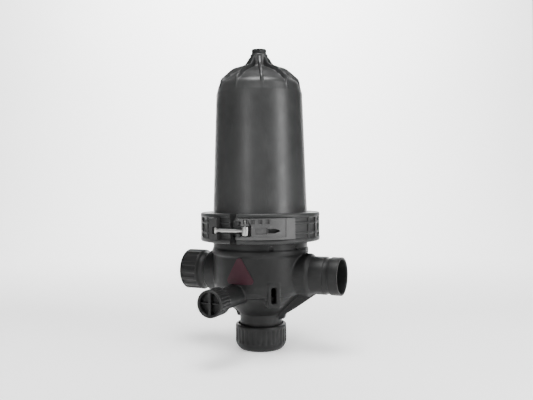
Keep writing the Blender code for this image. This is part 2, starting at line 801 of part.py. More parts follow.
def clamp_profile():
    """Section of the clamp: a groove whose two flanks pull the flanges together, and two rims."""
    inner = FLANGE_RADIUS + CLAMP_GROOVE_CLEARANCE
    flank_run = FLANGE_RADIUS - BODY_RADIUS
    climb = (FLANGE_RADIUS - CLAMP_LIP_RADIUS) / flank_run * FLANK_HEIGHT
    reach = FLANGE_THICKNESS + LIP_CLEARANCE
    round_off = CLAMP_RIM_ROUND
    half = [
        (inner, reach),
        (CLAMP_LIP_RADIUS, reach + climb),
        (CLAMP_LIP_RADIUS, CLAMP_TOP_Z - PARTING_Z - round_off),
        (CLAMP_LIP_RADIUS + round_off, CLAMP_TOP_Z - PARTING_Z),
        (CLAMP_RIM_RADIUS - 2 * round_off, CLAMP_TOP_Z - PARTING_Z),
        (CLAMP_RIM_RADIUS, CLAMP_TOP_Z - PARTING_Z - 2 * round_off),
        (CLAMP_RIM_RADIUS, CLAMP_TOP_Z - PARTING_Z - CLAMP_RIM_HEIGHT),
        (CLAMP_RADIUS, CLAMP_TOP_Z - PARTING_Z - CLAMP_RIM_HEIGHT - round_off),
    ]
    upper = [(radius, PARTING_Z + rise) for radius, rise in half]
    lower = [(radius, PARTING_Z - rise) for radius, rise in reversed(half)]
    return upper + lower


def clamp_half(name, side):
    """One half of the ring; side is +1 at the outlet and -1 at the inlet."""
    front = math.asin(CLAMP_FRONT_GAP / 2 / CLAMP_RADIUS)
    rear = math.asin(CLAMP_REAR_GAP / 2 / CLAMP_RADIUS)
    span = math.pi - front - rear
    start = -math.pi / 2 + front if side > 0 else math.pi / 2 + rear
    return turned(name, clamp_profile(), BODY_SIDES // 2, black_plastic(), start, span)


def knuckle_levels(slot):
    """Bottom and top of one of the three knuckles on the rear pin."""
    height = (CLAMP_TOP_Z - CLAMP_BOTTOM_Z - 2 * GAP) / 3
    low = CLAMP_BOTTOM_Z + slot * (height + GAP)
    return low, low + height


def knuckle(slot, side):
    low, high = knuckle_levels(slot)
    inner = (FLANGE_RADIUS + CLAMP_RADIUS) / 2
    body = rod("knuckle", KNUCKLE_RADIUS, low, high, SMALL_SIDES, place=Matrix.Translation((0, HINGE_Y, 0)))
    far = side * (CLAMP_REAR_GAP / 2 + KNUCKLE_RADIUS / 2)
    far_inner = math.sqrt(inner * inner - far * far)
    outline = [
        (side * GAP, HINGE_Y - KNUCKLE_RADIUS * 0.9),
        (far, far_inner),
        (far, CLAMP_RADIUS),
        (side * GAP, HINGE_Y + KNUCKLE_RADIUS * 0.9),
    ]
    return join(body, prism("arm", outline, low, high))


def pin_hole(x, y, radius):
    place = Matrix.Translation((x, y, 0))
    return rod("hole", radius, CLAMP_BOTTOM_Z - BODY_WALL, CLAMP_TOP_Z + BODY_WALL, PIN_SIDES, place=place)


def lever_levels():
    return LATCH_Z - LEVER_HEIGHT / 2, LATCH_Z + LEVER_HEIGHT / 2


def ear(low):
    inner = -(FLANGE_RADIUS + CLAMP_RADIUS) / 2
    outline = circle_arc((LEVER_PIVOT_X, LEVER_PIVOT_Y), EAR_RADIUS, math.pi, 2 * math.pi, 8)
    outline += [(LEVER_PIVOT_X + EAR_RADIUS, inner), (LEVER_PIVOT_X - EAR_RADIUS, inner)]
    return prism("ear", outline, low, low + EAR_THICKNESS)


def make_clamp_right():
    half = clamp_half("clamp_right", 1)
    low, high = lever_levels()
    join(half, ear(low + LEVER_CHEEK + GAP), ear(high - LEVER_CHEEK - GAP - EAR_THICKNESS))
    join(half, knuckle(1, 1))
    cut(half, pin_hole(0, HINGE_Y, HINGE_PIN_RADIUS + HINGE_PIN_CLEARANCE))
    return cut(half, pin_hole(LEVER_PIVOT_X, LEVER_PIVOT_Y, LATCH_PIN_RADIUS + LATCH_PIN_CLEARANCE))


def catch():
    """Block on the left-hand half with a pocket for the link's head and a slot for its shank."""
    inner = (FLANGE_RADIUS + CLAMP_RADIUS) / 2
    outline = [
        (CATCH_LEFT_X, -math.sqrt(inner * inner - CATCH_LEFT_X * CATCH_LEFT_X)),
        (CATCH_LEFT_X, CATCH_FACE_Y),
        (CATCH_RIGHT_X, CATCH_FACE_Y),
        (CATCH_RIGHT_X, -math.sqrt(inner * inner - CATCH_RIGHT_X * CATCH_RIGHT_X)),
    ]
    return prism("catch", outline, LATCH_Z - CATCH_HEIGHT / 2, LATCH_Z + CATCH_HEIGHT / 2)


def catch_pocket():
    wall = CATCH_RIGHT_X - CATCH_WALL
    left = LINK_HEAD_X - LINK_HEAD_RADIUS - CATCH_CLEARANCE
    back = LINK_Y + LINK_HEAD_RADIUS + GAP
    half = LINK_HEAD_HEIGHT / 2 + CATCH_CLEARANCE
    front = CATCH_FACE_Y - CATCH_WALL
    return box("pocket", (left, front, LINK_Z - half), (wall, back, LINK_Z + half))


def catch_slot():
    back = LINK_Y + LINK_RADIUS + GAP
    half = LINK_RADIUS + CATCH_CLEARANCE
    front = CATCH_FACE_Y - CATCH_WALL
    return box("slot", (LINK_HEAD_X, front, LINK_Z - half), (CATCH_RIGHT_X + CATCH_WALL, back, LINK_Z + half))


def make_clamp_left():
    half = clamp_half("clamp_left", -1)
    join(half, catch(), knuckle(0, -1), knuckle(2, -1))
    cut(half, catch_pocket(), catch_slot())
    return cut(half, pin_hole(0, HINGE_Y, HINGE_PIN_RADIUS + HINGE_PIN_CLEARANCE))


def make_hinge_pin():
    low = CLAMP_BOTTOM_Z - GAP
    high = CLAMP_TOP_Z + GAP
    profile = [
        (0, low - HINGE_PIN_HEAD),
        (HINGE_PIN_HEAD_RADIUS, low - HINGE_PIN_HEAD),
        (HINGE_PIN_HEAD_RADIUS, low),
        (HINGE_PIN_RADIUS, low),
        (HINGE_PIN_RADIUS, high),
        (HINGE_PIN_HEAD_RADIUS, high),
        (HINGE_PIN_HEAD_RADIUS, high + HINGE_PIN_HEAD),
        (0, high + HINGE_PIN_HEAD),
    ]
    return turned("clamp_hinge_pin", profile, PIN_SIDES, steel(), place=Matrix.Translation((0, HINGE_Y, 0)))


def lever_curve(inset, start, end, steps):
    """Points of the lever's outer face from one azimuth to another, moved inwards by inset."""
    points = []
    for i in range(steps + 1):
        azimuth = start + (end - start) * i / steps
        share = (azimuth - LEVER_START) / (LEVER_END - LEVER_START)
        radius = LEVER_START_RADIUS + (LEVER_END_RADIUS - LEVER_START_RADIUS) * share
        points.append(around(radius - inset, azimuth))
    return points


def lever_outline():
    """Plan of the whole lever: the boss on its pivot, then a band that follows the ring."""
    boss = circle_arc((LEVER_PIVOT_X, LEVER_PIVOT_Y), LEVER_BOSS_RADIUS, math.radians(75), math.radians(270), 8)
    outer = lever_curve(0, LEVER_START, LEVER_END, 12)
    inner = []
    first = math.atan2(LEVER_PIVOT_X + LEVER_BOSS_RADIUS, -LEVER_PIVOT_Y)
    for i in range(13):
        inner.append(around(LEVER_INNER_RADIUS, LEVER_END + (first - LEVER_END) * i / 12))
    return boss + outer + inner


def lever_hollow():
    """Room inside the lever for the ears and the link, open towards the ring."""
    end = LEVER_END - LEVER_CHEEK / LEVER_END_RADIUS
    plate = lever_curve(LEVER_PLATE, LEVER_START, end, 12)
    front = -LEVER_START_RADIUS - LEVER_PLATE
    back = -LEVER_INNER_RADIUS * 0.85
    outline = [(0, front), (plate[0][0], front), *plate]
    outline += [around(LEVER_INNER_RADIUS * 0.85, end), (plate[0][0], back), (0, back)]
    low, high = lever_levels()
    return prism("hollow", outline, low + LEVER_CHEEK, high - LEVER_CHEEK)


def make_latch_lever():
    low, high = lever_levels()
    lever = prism("latch_lever", lever_outline(), low, high, material("latch_plastic", BLACK, 0.25))
    cut(lever, lever_hollow())
    half = LINK_EYE_HEIGHT / 2 + 2 * CATCH_CLEARANCE
    front = -LEVER_START_RADIUS - LEVER_PLATE
    back = LINK_Y + LINK_EYE_RADIUS + GAP
    cut(lever, box("window", (LEVER_PIVOT_X, front, LINK_Z - half), (LEVER_WINDOW_X, back, LINK_Z + half)))
    hole = LATCH_PIN_RADIUS + LATCH_PIN_CLEARANCE
    return cut(lever, pin_hole(LEVER_PIVOT_X, LEVER_PIVOT_Y, hole), pin_hole(LINK_PIVOT_X, LINK_Y, hole))


def latch_pin(name, low, high, x, y):
    return rod(name, LATCH_PIN_RADIUS, low, high, PIN_SIDES, steel(), Matrix.Translation((x, y, 0)))


def make_latch_pins():
    low, high = lever_levels()
    length = LEVER_CHEEK + GAP + EAR_THICKNESS
    latch_pin("latch_pin_lower", low, low + length, LEVER_PIVOT_X, LEVER_PIVOT_Y)
    latch_pin("latch_pin_upper", high - length, high, LEVER_PIVOT_X, LEVER_PIVOT_Y)
    latch_pin("latch_link_pin", low, high, LINK_PIVOT_X, LINK_Y)


def make_latch_link():
    """Steel T-bolt: a shank, a cross head that drops into the catch, and an eye on the lever."""
    half = LINK_EYE_HEIGHT / 2
    place = Matrix.Translation((LINK_PIVOT_X, LINK_Y, 0))
    link = rod("latch_link", LINK_EYE_RADIUS, LINK_Z - half, LINK_Z + half, SMALL_SIDES, steel(), place)
    length = LINK_PIVOT_X - LINK_HEAD_X
    join(link, rod("shank", LINK_RADIUS, 0, length, PIN_SIDES, place=along_x(LINK_HEAD_X, LINK_Y, LINK_Z)))
    half_head = LINK_HEAD_HEIGHT / 2
    head_place = Matrix.Translation((LINK_HEAD_X, LINK_Y, 0))
    join(link, rod("head", LINK_HEAD_RADIUS, LINK_Z - half_head, LINK_Z + half_head, PIN_SIDES, place=head_place))
    return cut(link, pin_hole(LINK_PIVOT_X, LINK_Y, LATCH_PIN_RADIUS + LATCH_PIN_CLEARANCE))


# Disc cartridge


def spine_floor():
    return ELBOW_TOP_Z + GAP


def disc_floor():
    return spine_floor() + SPINE_PLATE_THICKNESS + GAP


def disc_top():
    return disc_floor() + DISC_STACK_LENGTH


def seal_z():
    return spine_floor() - SPINE_SKIRT_LENGTH / 2


def make_spine():
    """Base plate with its skirt in the elbow, three rods, a hub and the stud for the wing nut."""
    floor = spine_floor()
    plate_top = floor + SPINE_PLATE_THICKNESS
    skirt = ELBOW_BORE_RADIUS - SPINE_SKIRT_CLEARANCE
    inner = skirt - SPINE_SKIRT_WALL
    groove_half = SPINE_SEAL_RADIUS + GAP
    groove = ELBOW_BORE_RADIUS - GAP - 2 * SPINE_SEAL_RADIUS - GAP
    profile = [
        (inner, floor - SPINE_SKIRT_LENGTH),
        (skirt, floor - SPINE_SKIRT_LENGTH),
        (skirt, seal_z() - groove_half),
        (groove, seal_z() - groove_half),
        (groove, seal_z() + groove_half),
        (skirt, seal_z() + groove_half),
        (skirt, floor),
        (SPINE_PLATE_RADIUS, floor),
        (SPINE_PLATE_RADIUS, plate_top),
        (inner, plate_top),
    ]
    spine = turned("spine", profile, PIPE_SIDES, material("natural_plastic", NATURAL, 0.45))
    hub_top = disc_top() - SPINE_HUB_THICKNESS / 2
    hub_low = hub_top - SPINE_HUB_THICKNESS
    for i in range(SPINE_RODS):
        angle = 2 * math.pi * i / SPINE_RODS
        place = Matrix.Translation((SPINE_ROD_CIRCLE * math.cos(angle), SPINE_ROD_CIRCLE * math.sin(angle), 0))
        join(spine, rod("rod", SPINE_ROD_RADIUS, plate_top - SPINE_PLATE_THICKNESS / 2, hub_top, PIN_SIDES, place=place))
    hub_radius = SPINE_ROD_CIRCLE + SPINE_ROD_RADIUS
    join(spine, rod("hub", hub_radius, hub_low, hub_top + GAP, PIPE_SIDES))
    return join(spine, rod("stud", SPINE_STUD_RADIUS, hub_low + GAP, stud_top(), SMALL_SIDES))


def piston_top():
    return disc_top() + GAP + PISTON_THICKNESS


def washer_z():
    return piston_top() + SPRING_LENGTH + 2 * GAP


def nut_z():
    return washer_z() + WASHER_THICKNESS + GAP


def stud_top():
    return nut_z() + NUT_HEIGHT + STUD_SPARE


def ring_section(name, radius, centre_z, section, sides):
    """A round-section seal ring."""
    profile = circle_arc((radius, centre_z), section, 0, 2 * math.pi * 7 / 8, 7)
    return turned(name, profile, sides, rubber())


def make_spine_seal():
    section = SPINE_SEAL_RADIUS - GAP / 2
    return ring_section("spine_seal", ELBOW_BORE_RADIUS - GAP - section, seal_z(), section, PIPE_SIDES)


def make_disc_stack():
    """All grooved discs in one solid, with a notch between one group of discs and the next."""
    floor = disc_floor()
    pitch = DISC_STACK_LENGTH / DISC_GROOVES
    profile = [(DISC_BORE_RADIUS, floor)]
    for i in range(DISC_GROOVES):
        profile.append((DISC_RADIUS, floor + pitch * i))
        profile.append((DISC_RADIUS - DISC_GROOVE_DEPTH, floor + pitch * (i + 0.85)))
    profile.append((DISC_RADIUS, disc_top()))
    profile.append((DISC_BORE_RADIUS, disc_top()))
    return turned("disc_stack", profile, PIPE_SIDES, material("disc_red", DISC_RED, 0.5))


def make_pressure_plate():
    low = disc_top() + GAP
    top = piston_top()
    bore = SPINE_STUD_RADIUS + STUD_CLEARANCE
    profile = [
        (bore, low),
        (DISC_RADIUS, low),
        (DISC_RADIUS, top),
        (PISTON_BOSS_RADIUS, top),
        (PISTON_BOSS_RADIUS, top + PISTON_BOSS_HEIGHT),
        (bore, top + PISTON_BOSS_HEIGHT),
    ]
    return turned("pressure_plate", profile, PIPE_SIDES, black_plastic())


def make_spring():
    """A coil of round wire between the pressure plate and the washer."""
    mesh_data = bmesh.new()
    steps = int(SPRING_TURNS * 14)
    sides = 6
    low = piston_top() + GAP + SPRING_WIRE_RADIUS
    climb = SPRING_LENGTH - 2 * SPRING_WIRE_RADIUS
    rings = []
    for i in range(steps + 1):
        angle = 2 * math.pi * SPRING_TURNS * i / steps
        centre_z = low + climb * i / steps
        ring = []
        for k in range(sides):
            turn = 2 * math.pi * k / sides + math.pi / 2
            radius = SPRING_RADIUS + SPRING_WIRE_RADIUS * math.cos(turn)
            z = centre_z + SPRING_WIRE_RADIUS * math.sin(turn)
            ring.append(mesh_data.verts.new((radius * math.cos(angle), radius * math.sin(angle), z)))
        rings.append(ring)
    for lower, upper in zip(rings, rings[1:]):
        for k in range(sides):
            n = (k + 1) % sides
            mesh_data.faces.new((lower[k], lower[n], upper[n], upper[k]))
    mesh_data.faces.new(rings[0])
    mesh_data.faces.new(rings[-1])
    return finish(mesh_data, "spring", steel())


def make_spring_washer():
    low = washer_z()
    bore = SPINE_STUD_RADIUS + STUD_CLEARANCE
    return washer("spring_washer", bore, WASHER_RADIUS, low, low + WASHER_THICKNESS, PIPE_SIDES, steel())


def make_wing_nut():
    low = nut_z()
    top = low + NUT_HEIGHT
    nut = rod("wing_nut", NUT_RADIUS, low, top, SMALL_SIDES, material("nut_plastic", BLACK, 0.4))
    half = NUT_WING_THICKNESS / 2
    join(nut, box("wings", (-NUT_WING_REACH, -half, low + NUT_HEIGHT / 4), (NUT_WING_REACH, half, top + NUT_HEIGHT / 4)))
    bore = SPINE_STUD_RADIUS + THREAD_CLEARANCE
    return cut(nut, rod("hole", bore, low - GAP, top + NUT_HEIGHT, SMALL_SIDES))


# Drains


def make_bottom_cap():
    bore = NECK_THREAD_RADIUS + THREAD_CLEARANCE
    profile = [
        (0, 0),
        (BOTTOM_CAP_RADIUS - BOTTOM_CAP_BEVEL, 0),
        (BOTTOM_CAP_RADIUS - BOTTOM_CAP_BEVEL / 4, BOTTOM_CAP_BEVEL_HEIGHT * 0.55),
        (BOTTOM_CAP_RADIUS, BOTTOM_CAP_BEVEL_HEIGHT),
        (BOTTOM_CAP_RADIUS, BOTTOM_CAP_HEIGHT - BOTTOM_CAP_GRIP_DEPTH),
        (BOTTOM_CAP_RADIUS - BOTTOM_CAP_GRIP_DEPTH, BOTTOM_CAP_HEIGHT),
        (bore, BOTTOM_CAP_HEIGHT),
        (bore, BOTTOM_CAP_FLOOR),
        (0, BOTTOM_CAP_FLOOR),
    ]
    cap = turned("bottom_cap", profile, BODY_SIDES, black_plastic())
    low = BOTTOM_CAP_BEVEL_HEIGHT / 2
    high = BOTTOM_CAP_HEIGHT - 2 * BOTTOM_CAP_GRIP_DEPTH
    return cut(cap, grips(BOTTOM_CAP_GRIPS, BOTTOM_CAP_RADIUS, BOTTOM_CAP_GRIP_DEPTH, low, high))


def make_bottom_gasket():
    low = BOTTOM_CAP_FLOOR + GAP
    high = low + BOTTOM_GASKET_THICKNESS
    outer = NECK_THREAD_RADIUS - COLLAR_RIB_DEPTH
    return washer("bottom_gasket", NECK_BORE_RADIUS, outer, low, high, BODY_SIDES, rubber())


def drain_place():
    return along_front(DRAIN_OFFSET_X, 0, DRAIN_AXIS_Z)


def make_drain_cap():
    """Screw cap on the front pipe, with a sunk face and an upright web across it."""
    start = DRAIN_REACH - DRAIN_CAP_LENGTH
    seat = DRAIN_REACH - DRAIN_CAP_RECESS
    bore = DRAIN_RADIUS + THREAD_CLEARANCE
    profile = [
        (0, seat - DRAIN_CAP_FLOOR),
        (bore, seat - DRAIN_CAP_FLOOR),
        (bore, start),
        (DRAIN_CAP_RADIUS, start),
        (DRAIN_CAP_RADIUS, DRAIN_REACH - DRAIN_CAP_GRIP_DEPTH),
        (DRAIN_CAP_RADIUS - DRAIN_CAP_GRIP_DEPTH, DRAIN_REACH),
        (DRAIN_CAP_RECESS_RADIUS, DRAIN_REACH),
        (DRAIN_CAP_RECESS_RADIUS, seat),
        (0, seat),
    ]
    cap = turned("drain_cap", profile, PIPE_SIDES, black_plastic(), place=drain_place())
    half = DRAIN_CAP_WEB / 2
    reach = (DRAIN_CAP_RADIUS + DRAIN_CAP_RECESS_RADIUS) / 2
    web_low = (-half, -reach, seat - DRAIN_CAP_FLOOR / 2)
    web_high = (half, reach, DRAIN_REACH - DRAIN_CAP_GRIP_DEPTH)
    join(cap, box("web", web_low, web_high, place=drain_place()))
    low = start + DRAIN_CAP_GRIP_DEPTH * 2
    high = DRAIN_REACH - DRAIN_CAP_GRIP_DEPTH * 3
    return cut(cap, grips(DRAIN_CAP_GRIPS, DRAIN_CAP_RADIUS, DRAIN_CAP_GRIP_DEPTH, low, high, drain_place()))


def make_drain_gasket():
    high = DRAIN_REACH - DRAIN_CAP_RECESS - DRAIN_CAP_FLOOR - GAP
    low = high - DRAIN_GASKET_THICKNESS
    return washer("drain_gasket", DRAIN_BORE_RADIUS, DRAIN_RADIUS, low, high, SMALL_SIDES, rubber(), drain_place())


def put_origin(name, x, y, z):
    """Moves an object's origin onto its joint axis and leaves its surface where it is."""
    obj = bpy.data.objects[name]
    obj.data.transform(Matrix.Translation((-x, -y, -z)))
    obj.location = (x, y, z)


def put_origins():
    put_origin("cover", 0, 0, PARTING_Z)
    put_origin("clamp_left", 0, HINGE_Y, PARTING_Z)
    put_origin("clamp_right", 0, HINGE_Y, PARTING_Z)
    put_origin("latch_lever", LEVER_PIVOT_X, LEVER_PIVOT_Y, LATCH_Z)
    put_origin("latch_link", LINK_PIVOT_X, LINK_Y, LINK_Z)
    put_origin("vent_plug", 0, 0, vent_head_z())
    put_origin("wing_nut", 0, 0, nut_z())
    put_origin("drain_cap", DRAIN_OFFSET_X, -DRAIN_REACH, DRAIN_AXIS_Z)


def main():
    clear_scene()
    make_base_housing()
    make_elbow()
    make_outlet_pipe()
    make_inlet_pipe()
    make_drain_pipe()
    make_cover_seal()
    make_label()
    make_cover()
    make_vent_seal()
    make_vent_plug()
    make_clamp_left()
    make_clamp_right()
    make_hinge_pin()
    make_latch_lever()
    make_latch_pins()
    make_latch_link()
    make_spine()
    make_spine_seal()
    make_disc_stack()
    make_pressure_plate()
    make_spring()
    make_spring_washer()
    make_wing_nut()
    make_bottom_cap()
    make_bottom_gasket()
    make_drain_cap()
    make_drain_gasket()
    put_origins()


main()
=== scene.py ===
import math

import bmesh
import bpy
from mathutils import Matrix


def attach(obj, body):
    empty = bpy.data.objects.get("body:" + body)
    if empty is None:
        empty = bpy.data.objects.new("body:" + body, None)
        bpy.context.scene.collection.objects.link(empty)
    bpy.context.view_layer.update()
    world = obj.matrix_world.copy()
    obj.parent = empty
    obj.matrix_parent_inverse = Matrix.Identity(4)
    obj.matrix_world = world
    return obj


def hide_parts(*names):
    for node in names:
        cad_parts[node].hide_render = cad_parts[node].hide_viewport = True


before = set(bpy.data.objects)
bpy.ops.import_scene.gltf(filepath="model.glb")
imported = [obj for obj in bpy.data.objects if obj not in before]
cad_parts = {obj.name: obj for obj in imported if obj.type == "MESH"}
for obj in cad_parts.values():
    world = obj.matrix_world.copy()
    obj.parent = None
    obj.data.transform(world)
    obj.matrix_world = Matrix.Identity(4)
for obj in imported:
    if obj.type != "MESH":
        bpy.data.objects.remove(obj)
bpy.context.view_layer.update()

# Sides of a full turn, for large, medium and small round pieces
FINE = 160
MEDIUM = 96
SMALL = 48

# Places and radii that several pieces share, in metres
BODY_RADIUS = 0.0775
NECK_RADIUS = 0.0345
PIPE_RADIUS = 0.0345
PORT_AXIS_Z = 0.124
PORT_BORE = 0.0265
DRAIN_X = -0.008
DRAIN_Z = 0.0975
DRAIN_BORE = 0.0115
PARTING_Z = 0.201
HINGE_Y = 0.0992
LEVER_PIVOT = (0.0115, -0.1023)
LINK_PIVOT = (0.0225, -0.1010)
LATCH_BORE = 0.0023
LATCH_Z = 0.2015
LINK_Z = 0.199

# The photograph is taken from this far round, from the front towards the outlet, in degrees
VIEW_AZIMUTH = 25


# Shapes


def mesh_object(name, mesh_data, made_of=None, sharp=40):
    """Makes an object of a bmesh; edges over `sharp` degrees stay sharp."""
    bmesh.ops.remove_doubles(mesh_data, verts=mesh_data.verts, dist=1e-7)
    bmesh.ops.recalc_face_normals(mesh_data, faces=mesh_data.faces)
    mesh = bpy.data.meshes.new(name)
    mesh_data.to_mesh(mesh)
    mesh_data.free()
    mesh.shade_smooth()
    mesh.set_sharp_from_angle(angle=math.radians(sharp))
    obj = bpy.data.objects.new(name, mesh)
    bpy.context.scene.collection.objects.link(obj)
    if made_of:
        mesh.materials.append(made_of)
    return obj


def rounded(outline, radius, steps=4):
    """Rounds every corner of a closed outline; radius is one value or one per corner."""
    shortest_edge = 1e-9
    flattest_half = math.radians(88)
    most_of_edge = 0.49
    count = len(outline)
    radii = radius if isinstance(radius, (list, tuple)) else [radius] * count
    points = []
    for i in range(count):
        last_x, last_y = outline[i - 1]
        corner_x, corner_y = outline[i]
        next_x, next_y = outline[(i + 1) % count]
        back = math.hypot(last_x - corner_x, last_y - corner_y)
        ahead = math.hypot(next_x - corner_x, next_y - corner_y)
        if radii[i] <= 0 or back < shortest_edge or ahead < shortest_edge:
            points.append((corner_x, corner_y))
            continue
        back_x, back_y = (last_x - corner_x) / back, (last_y - corner_y) / back
        ahead_x, ahead_y = (next_x - corner_x) / ahead, (next_y - corner_y) / ahead
        cosine = max(-1, min(1, back_x * ahead_x + back_y * ahead_y))
        half = math.acos(cosine) / 2
        if half > flattest_half:
            points.append((corner_x, corner_y))
            continue
        reach = min(radii[i] / math.tan(half), back * most_of_edge, ahead * most_of_edge)
        for k in range(steps + 1):
            share = k / steps
            from_x = corner_x + back_x * reach * (1 - share)
            from_y = corner_y + back_y * reach * (1 - share)
            to_x = corner_x + ahead_x * reach * share
            to_y = corner_y + ahead_y * reach * share
            points.append((from_x + (to_x - from_x) * share, from_y + (to_y - from_y) * share))
    return points


def lathe(name, profile, sides, made_of=None, place=None, start=0.0, span=2 * math.pi):
    """Turns a closed (radius, height) outline about +Z, all the way round or over a span."""
    mesh_data = bmesh.new()
    whole = span > 2 * math.pi - 1e-6
    count = sides if whole else sides + 1
    columns = []
    for radius, height in profile:
        if radius < 1e-7:
            columns.append([mesh_data.verts.new((0, 0, height))] * count)
            continue
        ring = []
        for i in range(count):
            angle = start + span * i / sides
            ring.append(mesh_data.verts.new((radius * math.cos(angle), radius * math.sin(angle), height)))
        columns.append(ring)
    for lower, upper in zip(columns, columns[1:] + columns[:1]):
        for i in range(sides):
            j = (i + 1) % count
            corners = []
            for vert in (lower[i], lower[j], upper[j], upper[i]):
                if vert not in corners:
                    corners.append(vert)
            if len(corners) > 2:
                mesh_data.faces.new(corners)
    if not whole:
        for i in (0, sides):
            mesh_data.faces.new([column[i] for column in columns])
    if place:
        bmesh.ops.transform(mesh_data, matrix=place, verts=mesh_data.verts)
    return mesh_object(name, mesh_data, made_of)


def prism(name, outline, low, high, made_of=None, place=None):
    """Raises a closed (x, y) outline from one height to another."""
    mesh_data = bmesh.new()
    rings = [[mesh_data.verts.new((x, y, z)) for x, y in outline] for z in (low, high)]
    mesh_data.faces.new(rings[0])
    mesh_data.faces.new(rings[1])
    for i in range(len(outline)):
        j = (i + 1) % len(outline)
        mesh_data.faces.new((rings[0][i], rings[0][j], rings[1][j], rings[1][i]))
    if place:
        bmesh.ops.transform(mesh_data, matrix=place, verts=mesh_data.verts)
    return mesh_object(name, mesh_data, made_of)


def box(name, low, high, made_of=None, place=None):
    """A block between its lowest and highest corners."""
    outline = [(low[0], low[1]), (high[0], low[1]), (high[0], high[1]), (low[0], high[1])]
    return prism(name, outline, low[2], high[2], made_of, place)


def rod(name, radius, low, high, sides, made_of=None, place=None):
    """A round bar along +Z."""
    return lathe(name, [(0, low), (radius, low), (radius, high), (0, high)], sides, made_of, place)


def applied(obj):
    """Puts an object's modifiers into its mesh."""
    graph = bpy.context.evaluated_depsgraph_get()
    made = bpy.data.meshes.new_from_object(obj.evaluated_get(graph), depsgraph=graph)
    old = obj.data
    obj.modifiers.clear()
    obj.data = made
    bpy.data.meshes.remove(old)
    return obj


def boolean(target, operation, *tools):
    """Applies each tool to the target in turn and removes it."""
    for tool in tools:
        modifier = target.modifiers.new("boolean", "BOOLEAN")
        modifier.operation = operation
        modifier.solver = "EXACT"
        modifier.object = tool
        applied(target)
        bpy.data.objects.remove(tool, do_unlink=True)
    return target


def join(target, *tools):
    return boolean(target, "UNION", *tools)


def cut(target, *tools):
    return boolean(target, "DIFFERENCE", *tools)


def together(target, *others):
    """Puts several meshes into one object without a Boolean; the target's material serves them all."""
    mesh_data = bmesh.new()
    mesh_data.from_mesh(target.data)
    for other in others:
        mesh_data.from_mesh(other.data)
        bpy.data.objects.remove(other, do_unlink=True)
    mesh_data.to_mesh(target.data)
    mesh_data.free()
    return target


def bevelled(obj, width, segments=2, angle=35):
    """Rounds the edges over an angle, in degrees."""
    modifier = obj.modifiers.new("bevel", "BEVEL")
    modifier.width = width
    modifier.segments = segments
    modifier.limit_method = "ANGLE"
    modifier.angle_limit = math.radians(angle)
    modifier.use_clamp_overlap = True
    modifier.harden_normals = True
    applied(obj)
    return obj


def softened(obj, made_of):
    """Remeshes a body and smooths it, which leaves moulded fillets at every inner and outer corner."""
    most_triangles = 150000
    remesh = obj.modifiers.new("remesh", "REMESH")
    remesh.mode = "VOXEL"
    remesh.voxel_size = 0.0011
    smooth = obj.modifiers.new("smooth", "SMOOTH")
    smooth.factor = 0.5
    smooth.iterations = 6
    applied(obj)
    triangles = len(obj.data.polygons) * 2
    if triangles > most_triangles:
        decimate = obj.modifiers.new("decimate", "DECIMATE")
        decimate.ratio = most_triangles / triangles
        applied(obj)
    obj.data.shade_smooth()
    obj.data.materials.clear()
    obj.data.materials.append(made_of)
    return obj


def turned(degrees, axis="Z"):
    return Matrix.Rotation(math.radians(degrees), 4, axis)


def half_turn(side):
    """Keeps the outlet's side, 1, as it is and takes the inlet's side, -1, half round."""
    return turned(0 if side > 0 else 180)


def moved(x=0.0, y=0.0, z=0.0):
    return Matrix.Translation((x, y, z))


def along_x(side):
    """Takes +Z to the outward direction of a port."""
    return half_turn(side) @ moved(z=PORT_AXIS_Z) @ turned(90, "Y")


def along_drain():
    """Takes +Z to the drain pipe's axis, towards the front."""
    return moved(DRAIN_X, 0, DRAIN_Z) @ turned(90, "X")


def facing(degrees, z=0.0):
    """Takes +Z to the outward direction at an azimuth that is counted from the front."""
    return moved(z=z) @ turned(degrees) @ turned(90, "X")


def around(radius, azimuth):
    """A point on a circle about the axis; the azimuth is counted from the front, in radians."""
    return radius * math.sin(azimuth), -radius * math.cos(azimuth)


def arc(centre, radius, start, end, steps):
    """Points along an arc between two angles, in radians from the first axis."""
    points = []
    for i in range(steps + 1):
        angle = start + (end - start) * i / steps
        points.append((centre[0] + radius * math.cos(angle), centre[1] + radius * math.sin(angle)))
    return points


# Materials


def nodes_of(name):
    """A new material, its node tree and its shader."""
    made = bpy.data.materials.new(name)
    made.use_nodes = True
    tree = made.node_tree
    return made, tree, tree.nodes["Principled BSDF"]


def noise(tree, scale, detail=6.0, rough=0.55, stretch=None):
    """A noise value in object space, stretched along an axis where a scale for each is given."""
    coords = tree.nodes.new("ShaderNodeTexCoord")
    texture = tree.nodes.new("ShaderNodeTexNoise")
    texture.inputs["Scale"].default_value = scale
    texture.inputs["Detail"].default_value = detail
    texture.inputs["Roughness"].default_value = rough
    if stretch:
        mapping = tree.nodes.new("ShaderNodeMapping")
        mapping.inputs["Scale"].default_value = stretch
        tree.links.new(coords.outputs["Object"], mapping.inputs["Vector"])
        tree.links.new(mapping.outputs["Vector"], texture.inputs["Vector"])
    else:
        tree.links.new(coords.outputs["Object"], texture.inputs["Vector"])
    return texture.outputs["Fac"]


def ramp(tree, value, stops):
    """Maps a value through colour stops of (position, colour)."""
    made = tree.nodes.new("ShaderNodeValToRGB")
    elements = made.color_ramp.elements
    for i, (position, colour) in enumerate(stops):
        element = elements[i] if i < 2 else elements.new(position)
        element.position = position
        element.color = (*colour, 1.0)
    tree.links.new(value, made.inputs["Fac"])
    return made.outputs["Color"]


def scaled(tree, value, low, high):
    """Spreads the middle half of a noise value between two values."""
    made = tree.nodes.new("ShaderNodeMapRange")
    made.inputs["From Min"].default_value = 0.25
    made.inputs["From Max"].default_value = 0.75
    made.inputs["To Min"].default_value = low
    made.inputs["To Max"].default_value = high
    tree.links.new(value, made.inputs["Value"])
    return made.outputs["Result"]


